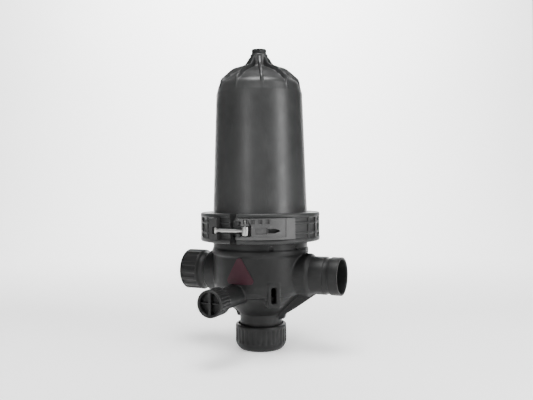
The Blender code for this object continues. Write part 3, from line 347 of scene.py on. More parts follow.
def bump(tree, value, strength, distance):
    made = tree.nodes.new("ShaderNodeBump")
    made.inputs["Strength"].default_value = strength
    made.inputs["Distance"].default_value = distance
    tree.links.new(value, made.inputs["Height"])
    return made.outputs["Normal"]


def plastic(name, colour, roughness, grain=0.25, gloss=0.5):
    """Moulded plastic: faint tone patches, uneven roughness and a fine grain."""
    patch_scale, wear_scale, grain_scale, grain_depth = 22.0, 60.0, 900.0, 0.0002
    made, tree, shader = nodes_of(name)
    dark = tuple(c * 0.82 for c in colour)
    light = tuple(c * 1.22 + 0.003 for c in colour)
    tone = ramp(tree, noise(tree, patch_scale), ((0.30, dark), (0.72, light)))
    tree.links.new(tone, shader.inputs["Base Color"])
    worn = scaled(tree, noise(tree, wear_scale, 8.0), roughness - 0.05, roughness + 0.09)
    tree.links.new(worn, shader.inputs["Roughness"])
    relief = bump(tree, noise(tree, grain_scale, 3.0), grain, grain_depth)
    tree.links.new(relief, shader.inputs["Normal"])
    shader.inputs["Specular IOR Level"].default_value = gloss
    return made


def steel(name):
    """Stainless steel with fine marks along X."""
    made, tree, shader = nodes_of(name)
    tone = ramp(tree, noise(tree, 90.0), ((0.3, (0.24, 0.24, 0.235)), (0.7, (0.38, 0.38, 0.37))))
    tree.links.new(tone, shader.inputs["Base Color"])
    shader.inputs["Metallic"].default_value = 1.0
    brushed = noise(tree, 260.0, 4.0, 0.5, (0.05, 1.0, 1.0))
    tree.links.new(scaled(tree, brushed, 0.30, 0.50), shader.inputs["Roughness"])
    tree.links.new(bump(tree, brushed, 0.15, 0.0001), shader.inputs["Normal"])
    return made


def rubber(name):
    made, tree, shader = nodes_of(name)
    tone = ramp(tree, noise(tree, 70.0), ((0.3, (0.010, 0.010, 0.010)), (0.7, (0.022, 0.022, 0.022))))
    tree.links.new(tone, shader.inputs["Base Color"])
    shader.inputs["Roughness"].default_value = 0.72
    tree.links.new(bump(tree, noise(tree, 500.0), 0.3, 0.0002), shader.inputs["Normal"])
    return made


# The finishes; colours are linear, and dark because the photograph's plastics are
BLACK = plastic("black_plastic", (0.0056, 0.0059, 0.0059), 0.44, gloss=0.22)
CLAMP = plastic("clamp_plastic", (0.019, 0.0195, 0.0195), 0.42, gloss=0.28)
COVER = plastic("cover_plastic", (0.0165, 0.017, 0.017), 0.38, 0.12, 0.42)
LATCH = plastic("latch_plastic", (0.045, 0.045, 0.045), 0.42, 0.10, 0.36)
NUT = plastic("nut_plastic", (0.022, 0.023, 0.023), 0.40)
NATURAL = plastic("natural_plastic", (0.050, 0.052, 0.055), 0.44)
GRADE = plastic("grade_red", (0.028, 0.0048, 0.0105), 0.46, 0.15, 0.20)
DISCS = plastic("disc_red", (0.40, 0.030, 0.036), 0.48, 0.15)
STEEL = steel("steel")
RUBBER = rubber("rubber")


# Base


def add_port(core, side):
    """A port's pipe and the web that braces it against the neck."""
    foot, end = BODY_RADIUS - 0.014, 0.0975
    pipe = [
        (0, foot), (PIPE_RADIUS, foot), (PIPE_RADIUS, 0.089), (0.0292, 0.0950), (0.0292, end), (0, end),
    ]
    join(core, lathe("pipe", pipe, MEDIUM, place=along_x(side)))
    half_thickness = 0.0045
    web = [
        (0.032, 0.050), (0.042, 0.050), (0.0445, 0.058), (0.062, 0.069), (0.100, 0.0955),
        (0.07, PORT_AXIS_Z), (0.032, PORT_AXIS_Z),
    ]
    place = half_turn(side) @ turned(90, "X")
    join(core, prism("web", web, -half_thickness, half_thickness, place=place))


def base_cavity():
    """The water's chamber, round the elbow and its arm."""
    outline = [
        (0, 0.03), (0.029, 0.03), (0.029, 0.061), (0.061, 0.093), (0.067, 0.096), (0.0705, 0.103),
        (0.0715, 0.113), (0.0715, 0.21), (0, 0.21),
    ]
    elbow_radius, elbow_low, elbow_high = 0.038, 0.090, 0.188
    arm_radius, arm_end = 0.0325, 0.09
    cavity = lathe("cavity", outline, MEDIUM)
    cut(cavity, rod("elbow", elbow_radius, elbow_low, elbow_high, MEDIUM))
    cut(cavity, rod("arm", arm_radius, 0, arm_end, MEDIUM, place=along_x(1)))
    return cavity


def cut_bores(core):
    """The riser up to the discs, both ports and the drain."""
    wall_inside, beyond_ports, beyond_drain = 0.044, 0.16, 0.165
    cut(core, rod("riser", 0.0315, 0.096, 0.21, MEDIUM))
    cut(core, rod("outlet", PORT_BORE, 0, beyond_ports, MEDIUM, place=along_x(1)))
    cut(core, rod("inlet", PORT_BORE, wall_inside, beyond_ports, MEDIUM, place=along_x(-1)))
    cut(core, rod("drain", DRAIN_BORE, wall_inside, beyond_drain, SMALL, place=along_drain()))


def base_core():
    """Bowl, wall, pipes, webs, drain pipe and pocket boss, hollowed and softened."""
    outside = [
        (0, 0.0375), (NECK_RADIUS, 0.0375), (NECK_RADIUS, 0.058), (0.067, 0.090), (0.0722, 0.0927),
        (0.0762, 0.100), (BODY_RADIUS, 0.110), (BODY_RADIUS, 0.1557), (0.0793, 0.1575), (0.0793, 0.1645),
        (BODY_RADIUS, 0.1663), (BODY_RADIUS, 0.183), (0.0785, 0.1838), (0.0785, 0.197), (0, 0.197),
    ]
    core = lathe("base_housing", outside, FINE)
    for side in (1, -1):
        add_port(core, side)
    join(core, rod("drain", 0.0162, 0.040, 0.1295, MEDIUM, place=along_drain()))
    pocket_place = facing(40, 0.097)
    join(core, box("boss", (-0.010, -0.018, 0.055), (0.010, 0.018, 0.078), place=pocket_place))
    cut(core, base_cavity())
    cut_bores(core)
    cut(core, box("pocket", (-0.004, -0.012, 0.064), (0.004, 0.012, 0.09), place=pocket_place))
    for azimuth in (37, 71):
        cut(core, rod("dimple", 0.0032, 0.0752, 0.09, SMALL, place=facing(azimuth, 0.169)))
    return softened(core, BLACK)


def base_flange():
    """The flange that the clamp grips, with the seal's groove in its top."""
    top = PARTING_Z
    outline = [
        (0.0722, 0.186), (0.0790, 0.1835), (0.088, 0.191), (0.088, top), (0.0826, top),
        (0.0826, 0.1964), (0.0774, 0.1964), (0.0774, top), (0.0722, top),
    ]
    return lathe("flange", rounded(outline, 0.0006, 2), FINE, BLACK)


def helix(radius, pitch, low, turns, height, steps):
    """A thread as a ridge along a helix that fades in and out at its ends."""
    crest = 0.35
    ridge_width = 0.8
    fade_turns = 1 / 3
    section = ((-0.5, -0.2), (-crest / 2, 1.0), (crest / 2, 1.0), (0.5, -0.2))
    total = int(turns * steps)
    mesh_data = bmesh.new()
    rings = []
    for i in range(total + 1):
        angle = 2 * math.pi * i / steps
        z = low + pitch * i / steps
        fade = min(1.0, i / steps / fade_turns, (total - i) / steps / fade_turns)
        ring = []
        for along, out in section:
            r = radius + height * (out * fade if out > 0 else out)
            x, y = r * math.cos(angle), r * math.sin(angle)
            ring.append(mesh_data.verts.new((x, y, z + along * pitch * ridge_width)))
        rings.append(ring)
    corners = len(section)
    for lower, upper in zip(rings, rings[1:]):
        for k in range(corners):
            n = (k + 1) % corners
            mesh_data.faces.new((lower[k], lower[n], upper[n], upper[k]))
    mesh_data.faces.new(rings[0])
    mesh_data.faces.new(rings[-1])
    return mesh_data


def threaded(name, radius, pitch, low, turns, height, made_of, place=None):
    """A screw thread of so many turns on a round wall."""
    mesh_data = helix(radius, pitch, low, turns, height, MEDIUM)
    if place:
        bmesh.ops.transform(mesh_data, matrix=place, verts=mesh_data.verts)
    return mesh_object(name, mesh_data, made_of, 50)


def base_neck():
    """The neck's end, with the thread for the bottom cap."""
    bore, radius, low, high = 0.029, 0.0362, 0.0088, 0.0385
    outline = [
        (bore, low), (0.0350, low), (radius, 0.0105), (radius, 0.0368), (NECK_RADIUS, high), (bore, high),
    ]
    neck = lathe("neck", rounded(outline, 0.0004, 2), MEDIUM, BLACK)
    return together(neck, threaded("thread", radius, 0.005, 0.0125, 4.4, 0.0010, BLACK))


def outlet_end():
    """The outlet pipe's end, with the groove for a coupling."""
    radius, groove_radius, low, high = 0.0301, 0.02855, 0.090, 0.1405
    outline = [
        (PORT_BORE, low), (radius, low), (radius, 0.1159), (groove_radius, 0.1161), (groove_radius, 0.1244),
        (radius, 0.1246), (radius, high), (0.0277, high), (PORT_BORE, 0.1390),
    ]
    return lathe("outlet_end", rounded(outline, 0.0007, 3), FINE, BLACK, place=along_x(1))


def ribbed(name, outline, ribs, steps, depth, low, high, duty, soft, place=None):
    """A lathed piece whose outermost wall is cut into axial ribs between two heights.

    A rib and its gap take `steps` sides; `duty` is the gap's share of them and `soft` is how slowly its
    sides fall.
    """
    mesh_data = bmesh.new()
    sides = ribs * steps
    wall = max(point[0] for point in outline) - depth * 1.6
    rings = []
    for radius, height in outline:
        ring = []
        for i in range(sides):
            angle = 2 * math.pi * i / sides
            r = radius
            if radius > wall and low <= height <= high:
                phase = (angle * ribs / (2 * math.pi)) % 1.0
                distance = abs(phase - 0.5) * 2
                wave = max(0.0, min(1.0, (duty - distance) / (soft * 0.5) + 0.5))
                r = radius - depth * wave
            ring.append(mesh_data.verts.new((r * math.cos(angle), r * math.sin(angle), height)))
        rings.append(ring)
    for lower, upper in zip(rings, rings[1:] + rings[:1]):
        for i in range(sides):
            j = (i + 1) % sides
            mesh_data.faces.new((lower[i], lower[j], upper[j], upper[i]))
    if place:
        bmesh.ops.transform(mesh_data, matrix=place, verts=mesh_data.verts)
    return mesh_object(name, mesh_data, BLACK, 50)


def inlet_collar():
    """The inlet's thick end; two rows of points at each end of its ribs let them start and stop short."""
    low, end, radius = 0.090, 0.137, 0.0338
    outline = [
        (PORT_BORE, low), (0.0300, low), (0.0300, 0.1005), (0.0318, 0.1035), (radius, 0.1052),
        (radius, 0.1072), (radius, 0.1082), (radius, 0.132), (radius, 0.133), (radius, 0.1355),
        (0.0323, end), (0.0285, end), (0.0272, 0.1362), (PORT_BORE, 0.134),
    ]
    return ribbed("collar", outline, 16, 16, 0.0017, 0.1078, 0.1325, 0.5, 0.35, along_x(-1))


def drain_nipple():
    """The drain pipe's end, with the thread for the drain cap."""
    radius, low, high = 0.0152, 0.1225, 0.1427
    outline = [(DRAIN_BORE, low), (0.0150, low), (radius, high), (DRAIN_BORE, high)]
    nipple = lathe("nipple", rounded(outline, 0.0004, 2), MEDIUM, BLACK, along_drain())
    return together(nipple, threaded("thread", radius, 0.0032, 0.1287, 3.6, 0.0009, BLACK, along_drain()))


def make_base():
    """The whole base moulding, which the CAD keeps as five nodes."""
    core = base_core()
    return together(core, base_flange(), base_neck(), outlet_end(), inlet_collar(), drain_nipple())


def ring_of(name, radius, z, thickness, points, sides):
    """An O-ring with a section of so many points."""
    section = arc((radius, z), thickness / 2, 0, 2 * math.pi * (points - 1) / points, points - 1)
    return lathe(name, section, sides, RUBBER)


def make_cover_seal():
    return ring_of("cover_seal", 0.0800, 0.19885, 0.0042, 16, FINE)


def make_label():
    """A plain three-cornered badge, point up, that follows the wall."""
    corner, half, low, high = 0.0055, 0.0170, 0.1200, 0.1496
    slope = math.atan2(half, high - low)
    outline = arc((half, low), corner, -math.pi / 2, slope, 12)
    outline += arc((0, high), corner, slope, math.pi - slope, 12)
    outline += arc((-half, low), corner, math.pi - slope, math.pi * 1.5, 12)
    behind_wall, before_wall, below, above = 0.05, 0.09, 0.10, 0.17
    badge = prism("grade_label", outline, behind_wall, before_wall, GRADE, facing(0))
    inner, outer = BODY_RADIUS + 0.0003, BODY_RADIUS + 0.0011
    skin = [(inner, below), (outer, below), (outer, above), (inner, above)]
    boolean(badge, "INTERSECT", lathe("skin", skin, FINE * 2))
    return bevelled(badge, 0.00025)


# Cover

# The crown's outline between its ribs, then along a rib, as (radius, height) from the wall to the vent's bore
CROWN = (
    (0.0710, 0.4170), (0.0691, 0.4240), (0.0672, 0.4312), (0.0636, 0.4360), (0.0575, 0.4406),
    (0.0500, 0.4462), (0.0420, 0.4520), (0.0270, 0.4585), (0.0200, 0.4612), (0.0152, 0.4640),
    (0.0145, 0.4680), (0.0145, 0.4740), (0.0145, 0.4790), (0.0145, 0.4825), (0.0140, 0.4835),
    (0.0102, 0.4835), (0.0102, 0.4560),
)
CROWN_RIB = (
    (0.0710, 0.4170), (0.0693, 0.4250), (0.0678, 0.4352), (0.0653, 0.4405), (0.0592, 0.4462),
    (0.0515, 0.4535), (0.0432, 0.4592), (0.0275, 0.4645), (0.0222, 0.4692), (0.0192, 0.4740),
    (0.0166, 0.4778), (0.0150, 0.4795), (0.0146, 0.4800), (0.0145, 0.4825), (0.0140, 0.4835),
    (0.0102, 0.4835), (0.0102, 0.4560),
)
# The points before this one are joined by a smooth curve, and ribs of these sizes stand on it
CROWN_CURVE = 15
RIB_COUNT = 10
RIB_START = math.radians(10.5)
RIB_HALF_WIDTH = 0.0027
RIB_FLANK = 0.0013


def finer(points, parts):
    """Smooth curve through the points, with more of them."""
    made = []
    last = len(points) - 1
    for i in range(last):
        before = points[max(0, i - 1)]
        here, there = points[i], points[i + 1]
        after = points[min(last, i + 2)]
        for k in range(parts):
            t = k / parts
            point = []
            for axis in (0, 1):
                a = 2 * here[axis]
                b = there[axis] - before[axis]
                c = 2 * before[axis] - 5 * here[axis] + 4 * there[axis] - after[axis]
                d = -before[axis] + 3 * here[axis] - 3 * there[axis] + after[axis]
                point.append(0.5 * (a + b * t + c * t * t + d * t * t * t))
            made.append(tuple(point))
    made.append(points[last])
    return made


def rib_share(azimuth, radius):
    """How far a point of the crown is raised towards a rib's top, from 0 to 1."""
    pitch = 2 * math.pi / RIB_COUNT
    turns = (azimuth - RIB_START) / pitch
    away = abs((turns + 0.5) % 1.0 - 0.5) * pitch * radius
    share = max(0.0, min(1.0, (RIB_HALF_WIDTH - away) / RIB_FLANK))
    return share * share * (3 - 2 * share)


def crown_rings(sides):
    """The crown from wall to neck, with radial ribs that rise into gussets."""
    parts = 3
    base = finer(CROWN[:CROWN_CURVE], parts) + list(CROWN[CROWN_CURVE:])
    rib = finer(CROWN_RIB[:CROWN_CURVE], parts) + list(CROWN_RIB[CROWN_CURVE:])
    rings = []
    for (base_r, base_z), (rib_r, rib_z) in zip(base, rib):
        ring = []
        for i in range(sides):
            share = rib_share(2 * math.pi * i / sides, max(base_r, rib_r))
            ring.append((base_r + (rib_r - base_r) * share, base_z + (rib_z - base_z) * share))
        rings.append(ring)
    return rings


def skirt_rows():
    """The flange under the clamp, and the tapered wall above it up to the crown."""
    rows = 12
    low = PARTING_Z + 0.0003
    wall_low, wall_high = (0.0775, 0.2200), CROWN[0]
    flange = [(0.0725, low), (0.088, low), (0.088, 0.211), (0.0776, 0.2192)]
    closing = [wall_high, (0.06, 0.3)]
    skirt = rounded(flange + closing, [0.0003, 0.0006, 0.0006, 0.002, 0, 0], 3)[:-3]
    for t in range(1, rows):
        radius = wall_low[0] + (wall_high[0] - wall_low[0]) * t / rows
        skirt.append((radius, wall_low[1] + (wall_high[1] - wall_low[1]) * t / rows))
    return skirt


def make_cover():
    """Tapered hood with a ribbed crown; its rings of points run up the outside and down the inside."""
    sides = 540
    inside = [
        (0.0262, 0.4547), (0.041, 0.4490), (0.049, 0.4440), (0.056, 0.4385), (0.0615, 0.4340),
        (0.0640, 0.4290), (0.0655, 0.4200), (0.0725, 0.2192),
    ]
    rings = [[point] * sides for point in skirt_rows()]
    rings += crown_rings(sides)
    rings += [[point] * sides for point in inside]
    mesh_data = bmesh.new()
    rows = []
    for ring in rings:
        row = []
        for i, (radius, height) in enumerate(ring):
            azimuth = 2 * math.pi * i / sides
            row.append(mesh_data.verts.new((radius * math.cos(azimuth), radius * math.sin(azimuth), height)))
        rows.append(row)
    for lower, upper in zip(rows, rows[1:] + rows[:1]):
        for i in range(sides):
            j = (i + 1) % sides
            mesh_data.faces.new((lower[i], lower[j], upper[j], upper[i]))
    return mesh_object("cover", mesh_data, COVER, 50)


def make_vent_plug():
    """Hexagonal plug with turned corners, a recess in its top and a threaded stem."""
    low, top, across_flats = 0.4857, 0.4919, 0.0235
    radius = across_flats / 2 / math.cos(math.pi / 6)
    hexagon = [(radius * math.cos(math.pi / 3 * i), radius * math.sin(math.pi / 3 * i)) for i in range(6)]
    plug = prism("vent_plug", rounded(hexagon, 0.0008, 3), low, top, BLACK)
    above = top + 0.0002
    turned_outline = [(0, low - 0.001), (0.0134, low), (0.0136, top - 0.0018), (0.0118, above), (0, above)]
    boolean(plug, "INTERSECT", lathe("turned", turned_outline, SMALL))
    cut(plug, rod("recess", 0.0055, top - 0.0035, top + 0.001, SMALL))
    bevelled(plug, 0.0003)
    stem = [(0.0060, 0.4697), (0.0088, 0.4697), (0.0093, 0.4712), (0.0093, 0.4858), (0.0060, 0.4858)]
    return together(
        plug,
        lathe("stem", rounded(stem, 0.0003, 2), SMALL, BLACK),
        threaded("thread", 0.0091, 0.002, 0.4728, 5.5, 0.0007, BLACK),
    )


def washer(name, inner, outer, low, high, sides, made_of, place=None):
    """A flat ring with rounded edges."""
    outline = rounded([(inner, low), (outer, low), (outer, high), (inner, high)], (high - low) * 0.3, 2)
    return lathe(name, outline, sides, made_of, place)


def make_vent_seal():
    return washer("vent_seal", 0.0102, 0.0120, 0.4838, 0.4854, SMALL, RUBBER)


# Clamp


def clamp_outline():
    """The band's section: its upper half, and the same mirrored about the parting plane."""
    upper = [
        (0.0886, 0.2115), (0.0797, 0.2183), (0.0797, 0.2240), (0.0980, 0.2240), (0.0980, 0.2178),
        (0.0958, 0.2165), (0.0955, 0.2110), (0.0968, 0.2100), (0.0968, 0.2075), (0.0955, 0.2065),
    ]
    lower = [(r, 2 * PARTING_Z - z) for r, z in reversed(upper)]
    corner = [0.0005, 0.001, 0.002, 0.0028, 0.0012, 0.0012, 0.0006, 0.0005, 0.0005, 0.0006]
    return rounded(upper + lower, corner + corner[::-1], 3)


def clamp_band(name, side):
    """Half of the band, less half of the gap in front and half of the gap at the hinge."""
    wall, half_front_gap, half_rear_gap = 0.0955, 0.0055, 0.0088
    front = math.asin(half_front_gap / wall)
    rear = math.asin(half_rear_gap / wall)
    start = -math.pi / 2 + front if side > 0 else math.pi / 2 + rear
    return lathe(name, clamp_outline(), FINE // 2, CLAMP, None, start, math.pi - front - rear)


def knuckle(low, high, side):
    """An eye of the rear hinge with the arm that joins it to its half of the band."""
    beyond = 0.01
    near, far = side * 0.0003, side * 0.0122
    body = rod("knuckle", 0.0068, low, high, SMALL, CLAMP, moved(y=HINGE_Y))
    join(body, prism("arm", [(near, 0.0931), (far, 0.0912), (far, 0.0955), (near, 0.1053)], low, high))
    cut(body, rod("hole", 0.0028, low - beyond, high + beyond, SMALL, place=moved(y=HINGE_Y)))
    return bevelled(body, 0.0006)


def clamp_webs(side, azimuths):
    """Upright ribs between the clamp's two rims."""
    half_width = 0.0016
    low, high = (-half_width, -0.0976, 0.1800), (half_width, -0.0940, 0.2220)
    return [bevelled(box("web", low, high, CLAMP, turned(azimuth * side)), 0.0006) for azimuth in azimuths]


def latch_hole(place_xy, low, high):
    """A tool that bores a pin's hole through a piece."""
    beyond = 0.01
    return rod("hole", LATCH_BORE, low - beyond, high + beyond, SMALL, place=moved(*place_xy))


def ear(low):
    """One of the two eyes that carry the lever."""
    radius, height, root = 0.0042, 0.0046, -0.0925
    outline = arc(LEVER_PIVOT, radius, math.pi, 2 * math.pi, 16)
    outline += [(LEVER_PIVOT[0] + radius, root), (LEVER_PIVOT[0] - radius, root)]
    made = prism("ear", outline, low, low + height, CLAMP)
    cut(made, latch_hole(LEVER_PIVOT, low, low + height))
    return bevelled(made, 0.0004)


def make_clamp_right():
    half = clamp_band("clamp_right", 1)
    ears = [ear(0.1898), ear(0.2086)]
    return together(half, *ears, knuckle(0.1936, 0.2084, 1), *clamp_webs(1, range(76, 168, 13)))


def catch():
    """The block that holds the link's head in a pocket, with a slot for its shank."""
    outline = [(-0.0380, -0.084), (-0.0380, -0.1055), (-0.0240, -0.1055), (-0.0240, -0.0885)]
    block = prism("catch", outline, 0.1850, 0.2180, CLAMP)
    cut(block, box("pocket", (-0.0315, -0.12, 0.1935), (-0.0243, -0.0972, 0.2045)))
    cut(block, box("slot", (-0.0285, -0.12, 0.1954), (-0.0200, -0.0977, 0.2026)))
    return bevelled(block, 0.0008, 3)


def make_clamp_left():
    half = clamp_band("clamp_left", -1)
    knuckles = [knuckle(0.1780, 0.1931, -1), knuckle(0.2089, 0.2240, -1)]
    return together(half, catch(), *knuckles, *clamp_webs(-1, range(34, 168, 13)))


def make_hinge_pin():
    """A pin with a rivet's head at each end."""
    radius, head_radius, low, high, head = 0.0025, 0.0042, 0.1757, 0.2263, 0.0020
    outline = [
        (0, low), (head_radius, low), (head_radius, low + head), (radius, low + head),
        (radius, high - head), (head_radius, high - head), (head_radius, high), (0, high),
    ]
    corner = [0, 0.0006, 0.0003, 0, 0, 0.0003, 0.0006, 0]
    return lathe("clamp_hinge_pin", rounded(outline, corner, 3), SMALL, STEEL, moved(y=HINGE_Y))


# The lever runs round the clamp between these azimuths
LEVER_FROM = math.radians(9.5)
LEVER_TO = math.radians(56)


def lever_curve(inset, start, end, steps=40):
    """Points along the lever's outer face, which closes in on the clamp towards its free end."""
    radius, closing_in = 0.1085, 0.0055
    points = []
    for i in range(steps + 1):
        azimuth = start + (end - start) * i / steps
        share = (azimuth - LEVER_FROM) / (LEVER_TO - LEVER_FROM)
        points.append(around(radius - closing_in * share - inset, azimuth))
    return points


def lever_patch(start, end, low, high, depth):
    """Pocket that follows the lever's outer face; start and end are azimuths in degrees."""
    start, end, proud = math.radians(start), math.radians(end), 0.004
    outline = lever_curve(depth, start, end, 12) + lever_curve(-proud, start, end, 12)[::-1]
    return prism("patch", outline, low, high)


def lever_hollow(low, high):
    """The lever's open back, which leaves a plate in front and stops short of the free end."""
    plate_thickness, wall, in_front, behind, solid_end = 0.0036, 0.004, -0.1121, 0.084, 0.0388
    end = LEVER_TO - solid_end
    plate = lever_curve(plate_thickness, LEVER_FROM, end)
    left = plate[0][0]
    outline = [(0, in_front), (left, in_front), *plate, around(behind, end), (left, -behind), (0, -behind)]
    return prism("hollow", outline, low + wall, high - wall)


def lever_window():
    """The opening that the link's eye sits and turns in."""
    half_height = 0.0077
    low = (LEVER_PIVOT[0], -0.1121, LINK_Z - half_height)
    return box("window", low, (0.0325, -0.0952, LINK_Z + half_height))


def lever_face(lever):
    """Sunk face, four cells above the window, a recess and a tapered hole."""
    cut(lever, lever_patch(8, 47, 0.1897, 0.2200, 0.0009))
    for azimuth in (13, 19, 25, 31):
        cut(lever, lever_patch(azimuth - 1.7, azimuth + 1.7, 0.2095, 0.2160, 0.0034))
    cut(lever, lever_patch(21, 31, 0.1940, 0.2035, 0.0032))
    upper = [(0.0125, 0.0008), (0.0052, 0.0034), (-0.0058, 0.0034)]
    hole = [(x, -y) for x, y in reversed(upper)] + upper
    cut(lever, prism("hole", rounded(hole, 0.001, 3), 0.098, 0.115, place=facing(34.5, 0.1988)))


def make_latch_lever():
    half_height, boss_radius, inner_radius = 0.016, 0.0045, 0.0988
    low, high = LATCH_Z - half_height, LATCH_Z + half_height
    boss = arc(LEVER_PIVOT, boss_radius, math.radians(75), math.radians(270), 16)
    first = math.atan2(LEVER_PIVOT[0] + boss_radius, -LEVER_PIVOT[1])
    inner = [around(inner_radius, LEVER_TO + (first - LEVER_TO) * i / 40) for i in range(41)]
    lever = prism("latch_lever", boss + lever_curve(0, LEVER_FROM, LEVER_TO) + inner, low, high, LATCH)
    cut(lever, lever_hollow(low, high))
    cut(lever, lever_window())
    for place_xy in (LEVER_PIVOT, LINK_PIVOT):
        cut(lever, latch_hole(place_xy, low, high))
    lever_face(lever)
    return bevelled(lever, 0.0007, 2, 30)


def pin(name, place_xy, low, high):
    """An upright steel pin of the latch."""
    radius = 0.002
    outline = [(0, low), (radius, low), (radius, high), (0, high)]
    return lathe(name, rounded(outline, [0, 0.0004, 0.0004, 0], 2), SMALL, STEEL, moved(*place_xy))


def make_pin_lower():
    return pin("latch_pin_lower", LEVER_PIVOT, 0.1855, 0.1944)


def make_pin_upper():
    return pin("latch_pin_upper", LEVER_PIVOT, 0.2086, 0.2175)


def make_link_pin():
    return pin("latch_link_pin", LINK_PIVOT, 0.1855, 0.2175)


def make_latch_link():
    """A steel T-bolt: the eye on the lever's pin, the shank, and the head in the catch."""
    x, y = LINK_PIVOT
    head_x, head_radius, half_head = -0.0280, 0.0031, 0.0048
    eye_radius, half_eye = 0.0055, 0.0065
    shank_radius, shank_length = 0.0029, 0.0462
    low, high = LINK_Z - half_eye, LINK_Z + half_eye
    eye = [(LATCH_BORE, low), (eye_radius, low), (eye_radius, high), (LATCH_BORE, high)]
    link = lathe("latch_link", rounded(eye, 0.0005, 2), MEDIUM, STEEL, moved(x, y))
    shank_place = moved(head_x, y, LINK_Z) @ turned(90, "Y")
    shank = rod("shank", shank_radius, 0, shank_length, SMALL, STEEL, shank_place)
    low, high = LINK_Z - half_head, LINK_Z + half_head
    head = rounded([(0, low), (head_radius, low), (head_radius, high), (0, high)], [0, 0.0008, 0.0008, 0], 2)
    return together(link, shank, lathe("head", head, SMALL, STEEL, moved(head_x, y)))


# Cartridge


def make_spine():
    """Base plate and skirt, three rods, the hub and the threaded stud."""
    bore, skirt_radius, groove_radius, plate_radius = 0.0261, 0.0311, 0.0279, 0.0575
    plate_low, plate_high = 0.1883, 0.1963
    skirt = [
        (bore, 0.1703), (skirt_radius, 0.1703), (skirt_radius, 0.1775), (groove_radius, 0.1775),
        (groove_radius, 0.1811), (skirt_radius, 0.1811), (skirt_radius, plate_low),
        (plate_radius, plate_low), (plate_radius, plate_high), (bore, plate_high),
    ]
    spine = lathe("spine", rounded(skirt, 0.0004, 2), MEDIUM, NATURAL)
    rod_circle, rod_radius, rod_low, rod_high = 0.0335, 0.0042, 0.192, 0.3806
    parts = []
    for i in range(3):
        angle = 2 * math.pi * i / 3
        place = moved(rod_circle * math.cos(angle), rod_circle * math.sin(angle))
        parts.append(rod("rod", rod_radius, rod_low, rod_high, SMALL, NATURAL, place))
    hub = rounded([(0, 0.3726), (0.0377, 0.3726), (0.0377, 0.3809), (0, 0.3809)], [0, 0.001, 0.001, 0], 3)
    parts.append(lathe("hub", hub, MEDIUM, NATURAL))
    stud = rounded([(0, 0.375), (0.0045, 0.375), (0.0045, 0.4368), (0, 0.4368)], [0, 0, 0.0008, 0], 2)
    parts.append(lathe("stud", stud, SMALL, NATURAL))
    parts.append(threaded("thread", 0.0044, 0.002, 0.400, 17, 0.0006, NATURAL))
    return together(spine, *parts)


def make_spine_seal():
    return ring_of("spine_seal", 0.02985, 0.1793, 0.0027, 12, MEDIUM)


def make_disc_stack():
    """Thin grooved discs, each with a shallow notch to the next."""
    floor, length, count = 0.1966, 0.188, 150
    bore, radius, notch_radius = 0.0400, 0.0560, 0.0550
    pitch = length / count
    outline = [(bore, floor)]
    for i in range(count):
        z = floor + pitch * i
        outline += [(radius, z + pitch * 0.12), (radius, z + pitch * 0.72), (notch_radius, z + pitch * 0.92)]
    outline += [(radius, floor + length), (bore, floor + length)]
    return lathe("disc_stack", outline, MEDIUM * 2, DISCS)


def make_pressure_plate():
    bore, radius, boss_radius, low, top = 0.0054, 0.056, 0.014, 0.3849, 0.3969
    outline = [
        (bore, low), (radius, low), (radius, 0.3909), (boss_radius, 0.3909), (boss_radius, top), (bore, top),
    ]
    return lathe("pressure_plate", rounded(outline, 0.0008, 3), FINE, BLACK)


def make_spring_washer():
    return washer("spring_washer", 0.0054, 0.022, 0.4195, 0.4215, MEDIUM, STEEL)


def make_wing_nut():
    bore, low, high, half_thickness = 0.0054, 0.4218, 0.4338, 0.002
    outline = [(bore, low), (0.0095, low), (0.0088, high), (bore, high)]
    nut = lathe("wing_nut", rounded(outline, 0.0006, 3), MEDIUM, NUT)
    wing = [(0.0080, 0.4252), (0.0168, 0.4268), (0.0200, 0.4368), (0.0140, 0.4368), (0.0080, 0.4310)]
    wings = []
    for side in (1, -1):
        shape = rounded([(side * x, z) for x, z in wing], 0.0015, 4)
        plate = prism("wing", shape, -half_thickness, half_thickness, NUT, turned(90, "X"))
        wings.append(bevelled(plate, 0.0008, 3))
    return together(nut, *wings)


# Drains


def make_bottom_cap():
    """A round-edged cap with grip ribs; the part stands on it."""
    centre, radius, bore, floor, top = 0.0001, 0.0420, 0.0378, 0.0050, 0.0410
    outline = [
        (centre, 0.0), (0.0325, 0.0), (0.0350, 0.0006), (0.0385, 0.0042), (0.0403, 0.0070), (0.0415, 0.0100),
        (radius, 0.0130), (radius, 0.0142), (radius, 0.0340), (radius, 0.0352), (radius, 0.0380),
        (0.0414, 0.0402), (0.0404, top), (bore, top), (bore, floor), (centre, floor),
    ]
    return ribbed("bottom_cap", outline, 32, 12, 0.0009, 0.0135, 0.0346, 0.45, 0.5)


def make_bottom_gasket():
    return washer("bottom_gasket", 0.029, 0.0356, 0.0053, 0.0083, MEDIUM, RUBBER)


def make_drain_cap():
    """A small cap with grip ribs, and a cross in the recess of its face to turn it by."""
    place = along_drain()
    centre, radius, bore, back, wall_end, face = 0.0001, 0.0205, 0.0166, 0.1305, 0.1455, 0.1585
    outline = [
        (centre, wall_end), (bore, wall_end), (bore, back), (0.0198, back), (radius, 0.1313),
        (radius, 0.1325), (radius, 0.1535), (radius, 0.1547), (radius, 0.1570), (0.0194, face),
        (0.0175, face), (0.0165, 0.1577), (0.0162, 0.1495), (centre, 0.1495),
    ]
    cap = ribbed("drain_cap", outline, 24, 12, 0.0009, 0.1319, 0.1541, 0.45, 0.5, place)
    foot, reach = 0.1475, 0.0180
    upright = box("web", (-0.00225, -reach, foot), (0.00225, reach, 0.1575), BLACK, place)
    level = box("web", (-reach, -0.0012, foot), (reach, 0.0012, 0.1535), BLACK, place)
    return together(cap, bevelled(upright, 0.0007), bevelled(level, 0.0005))


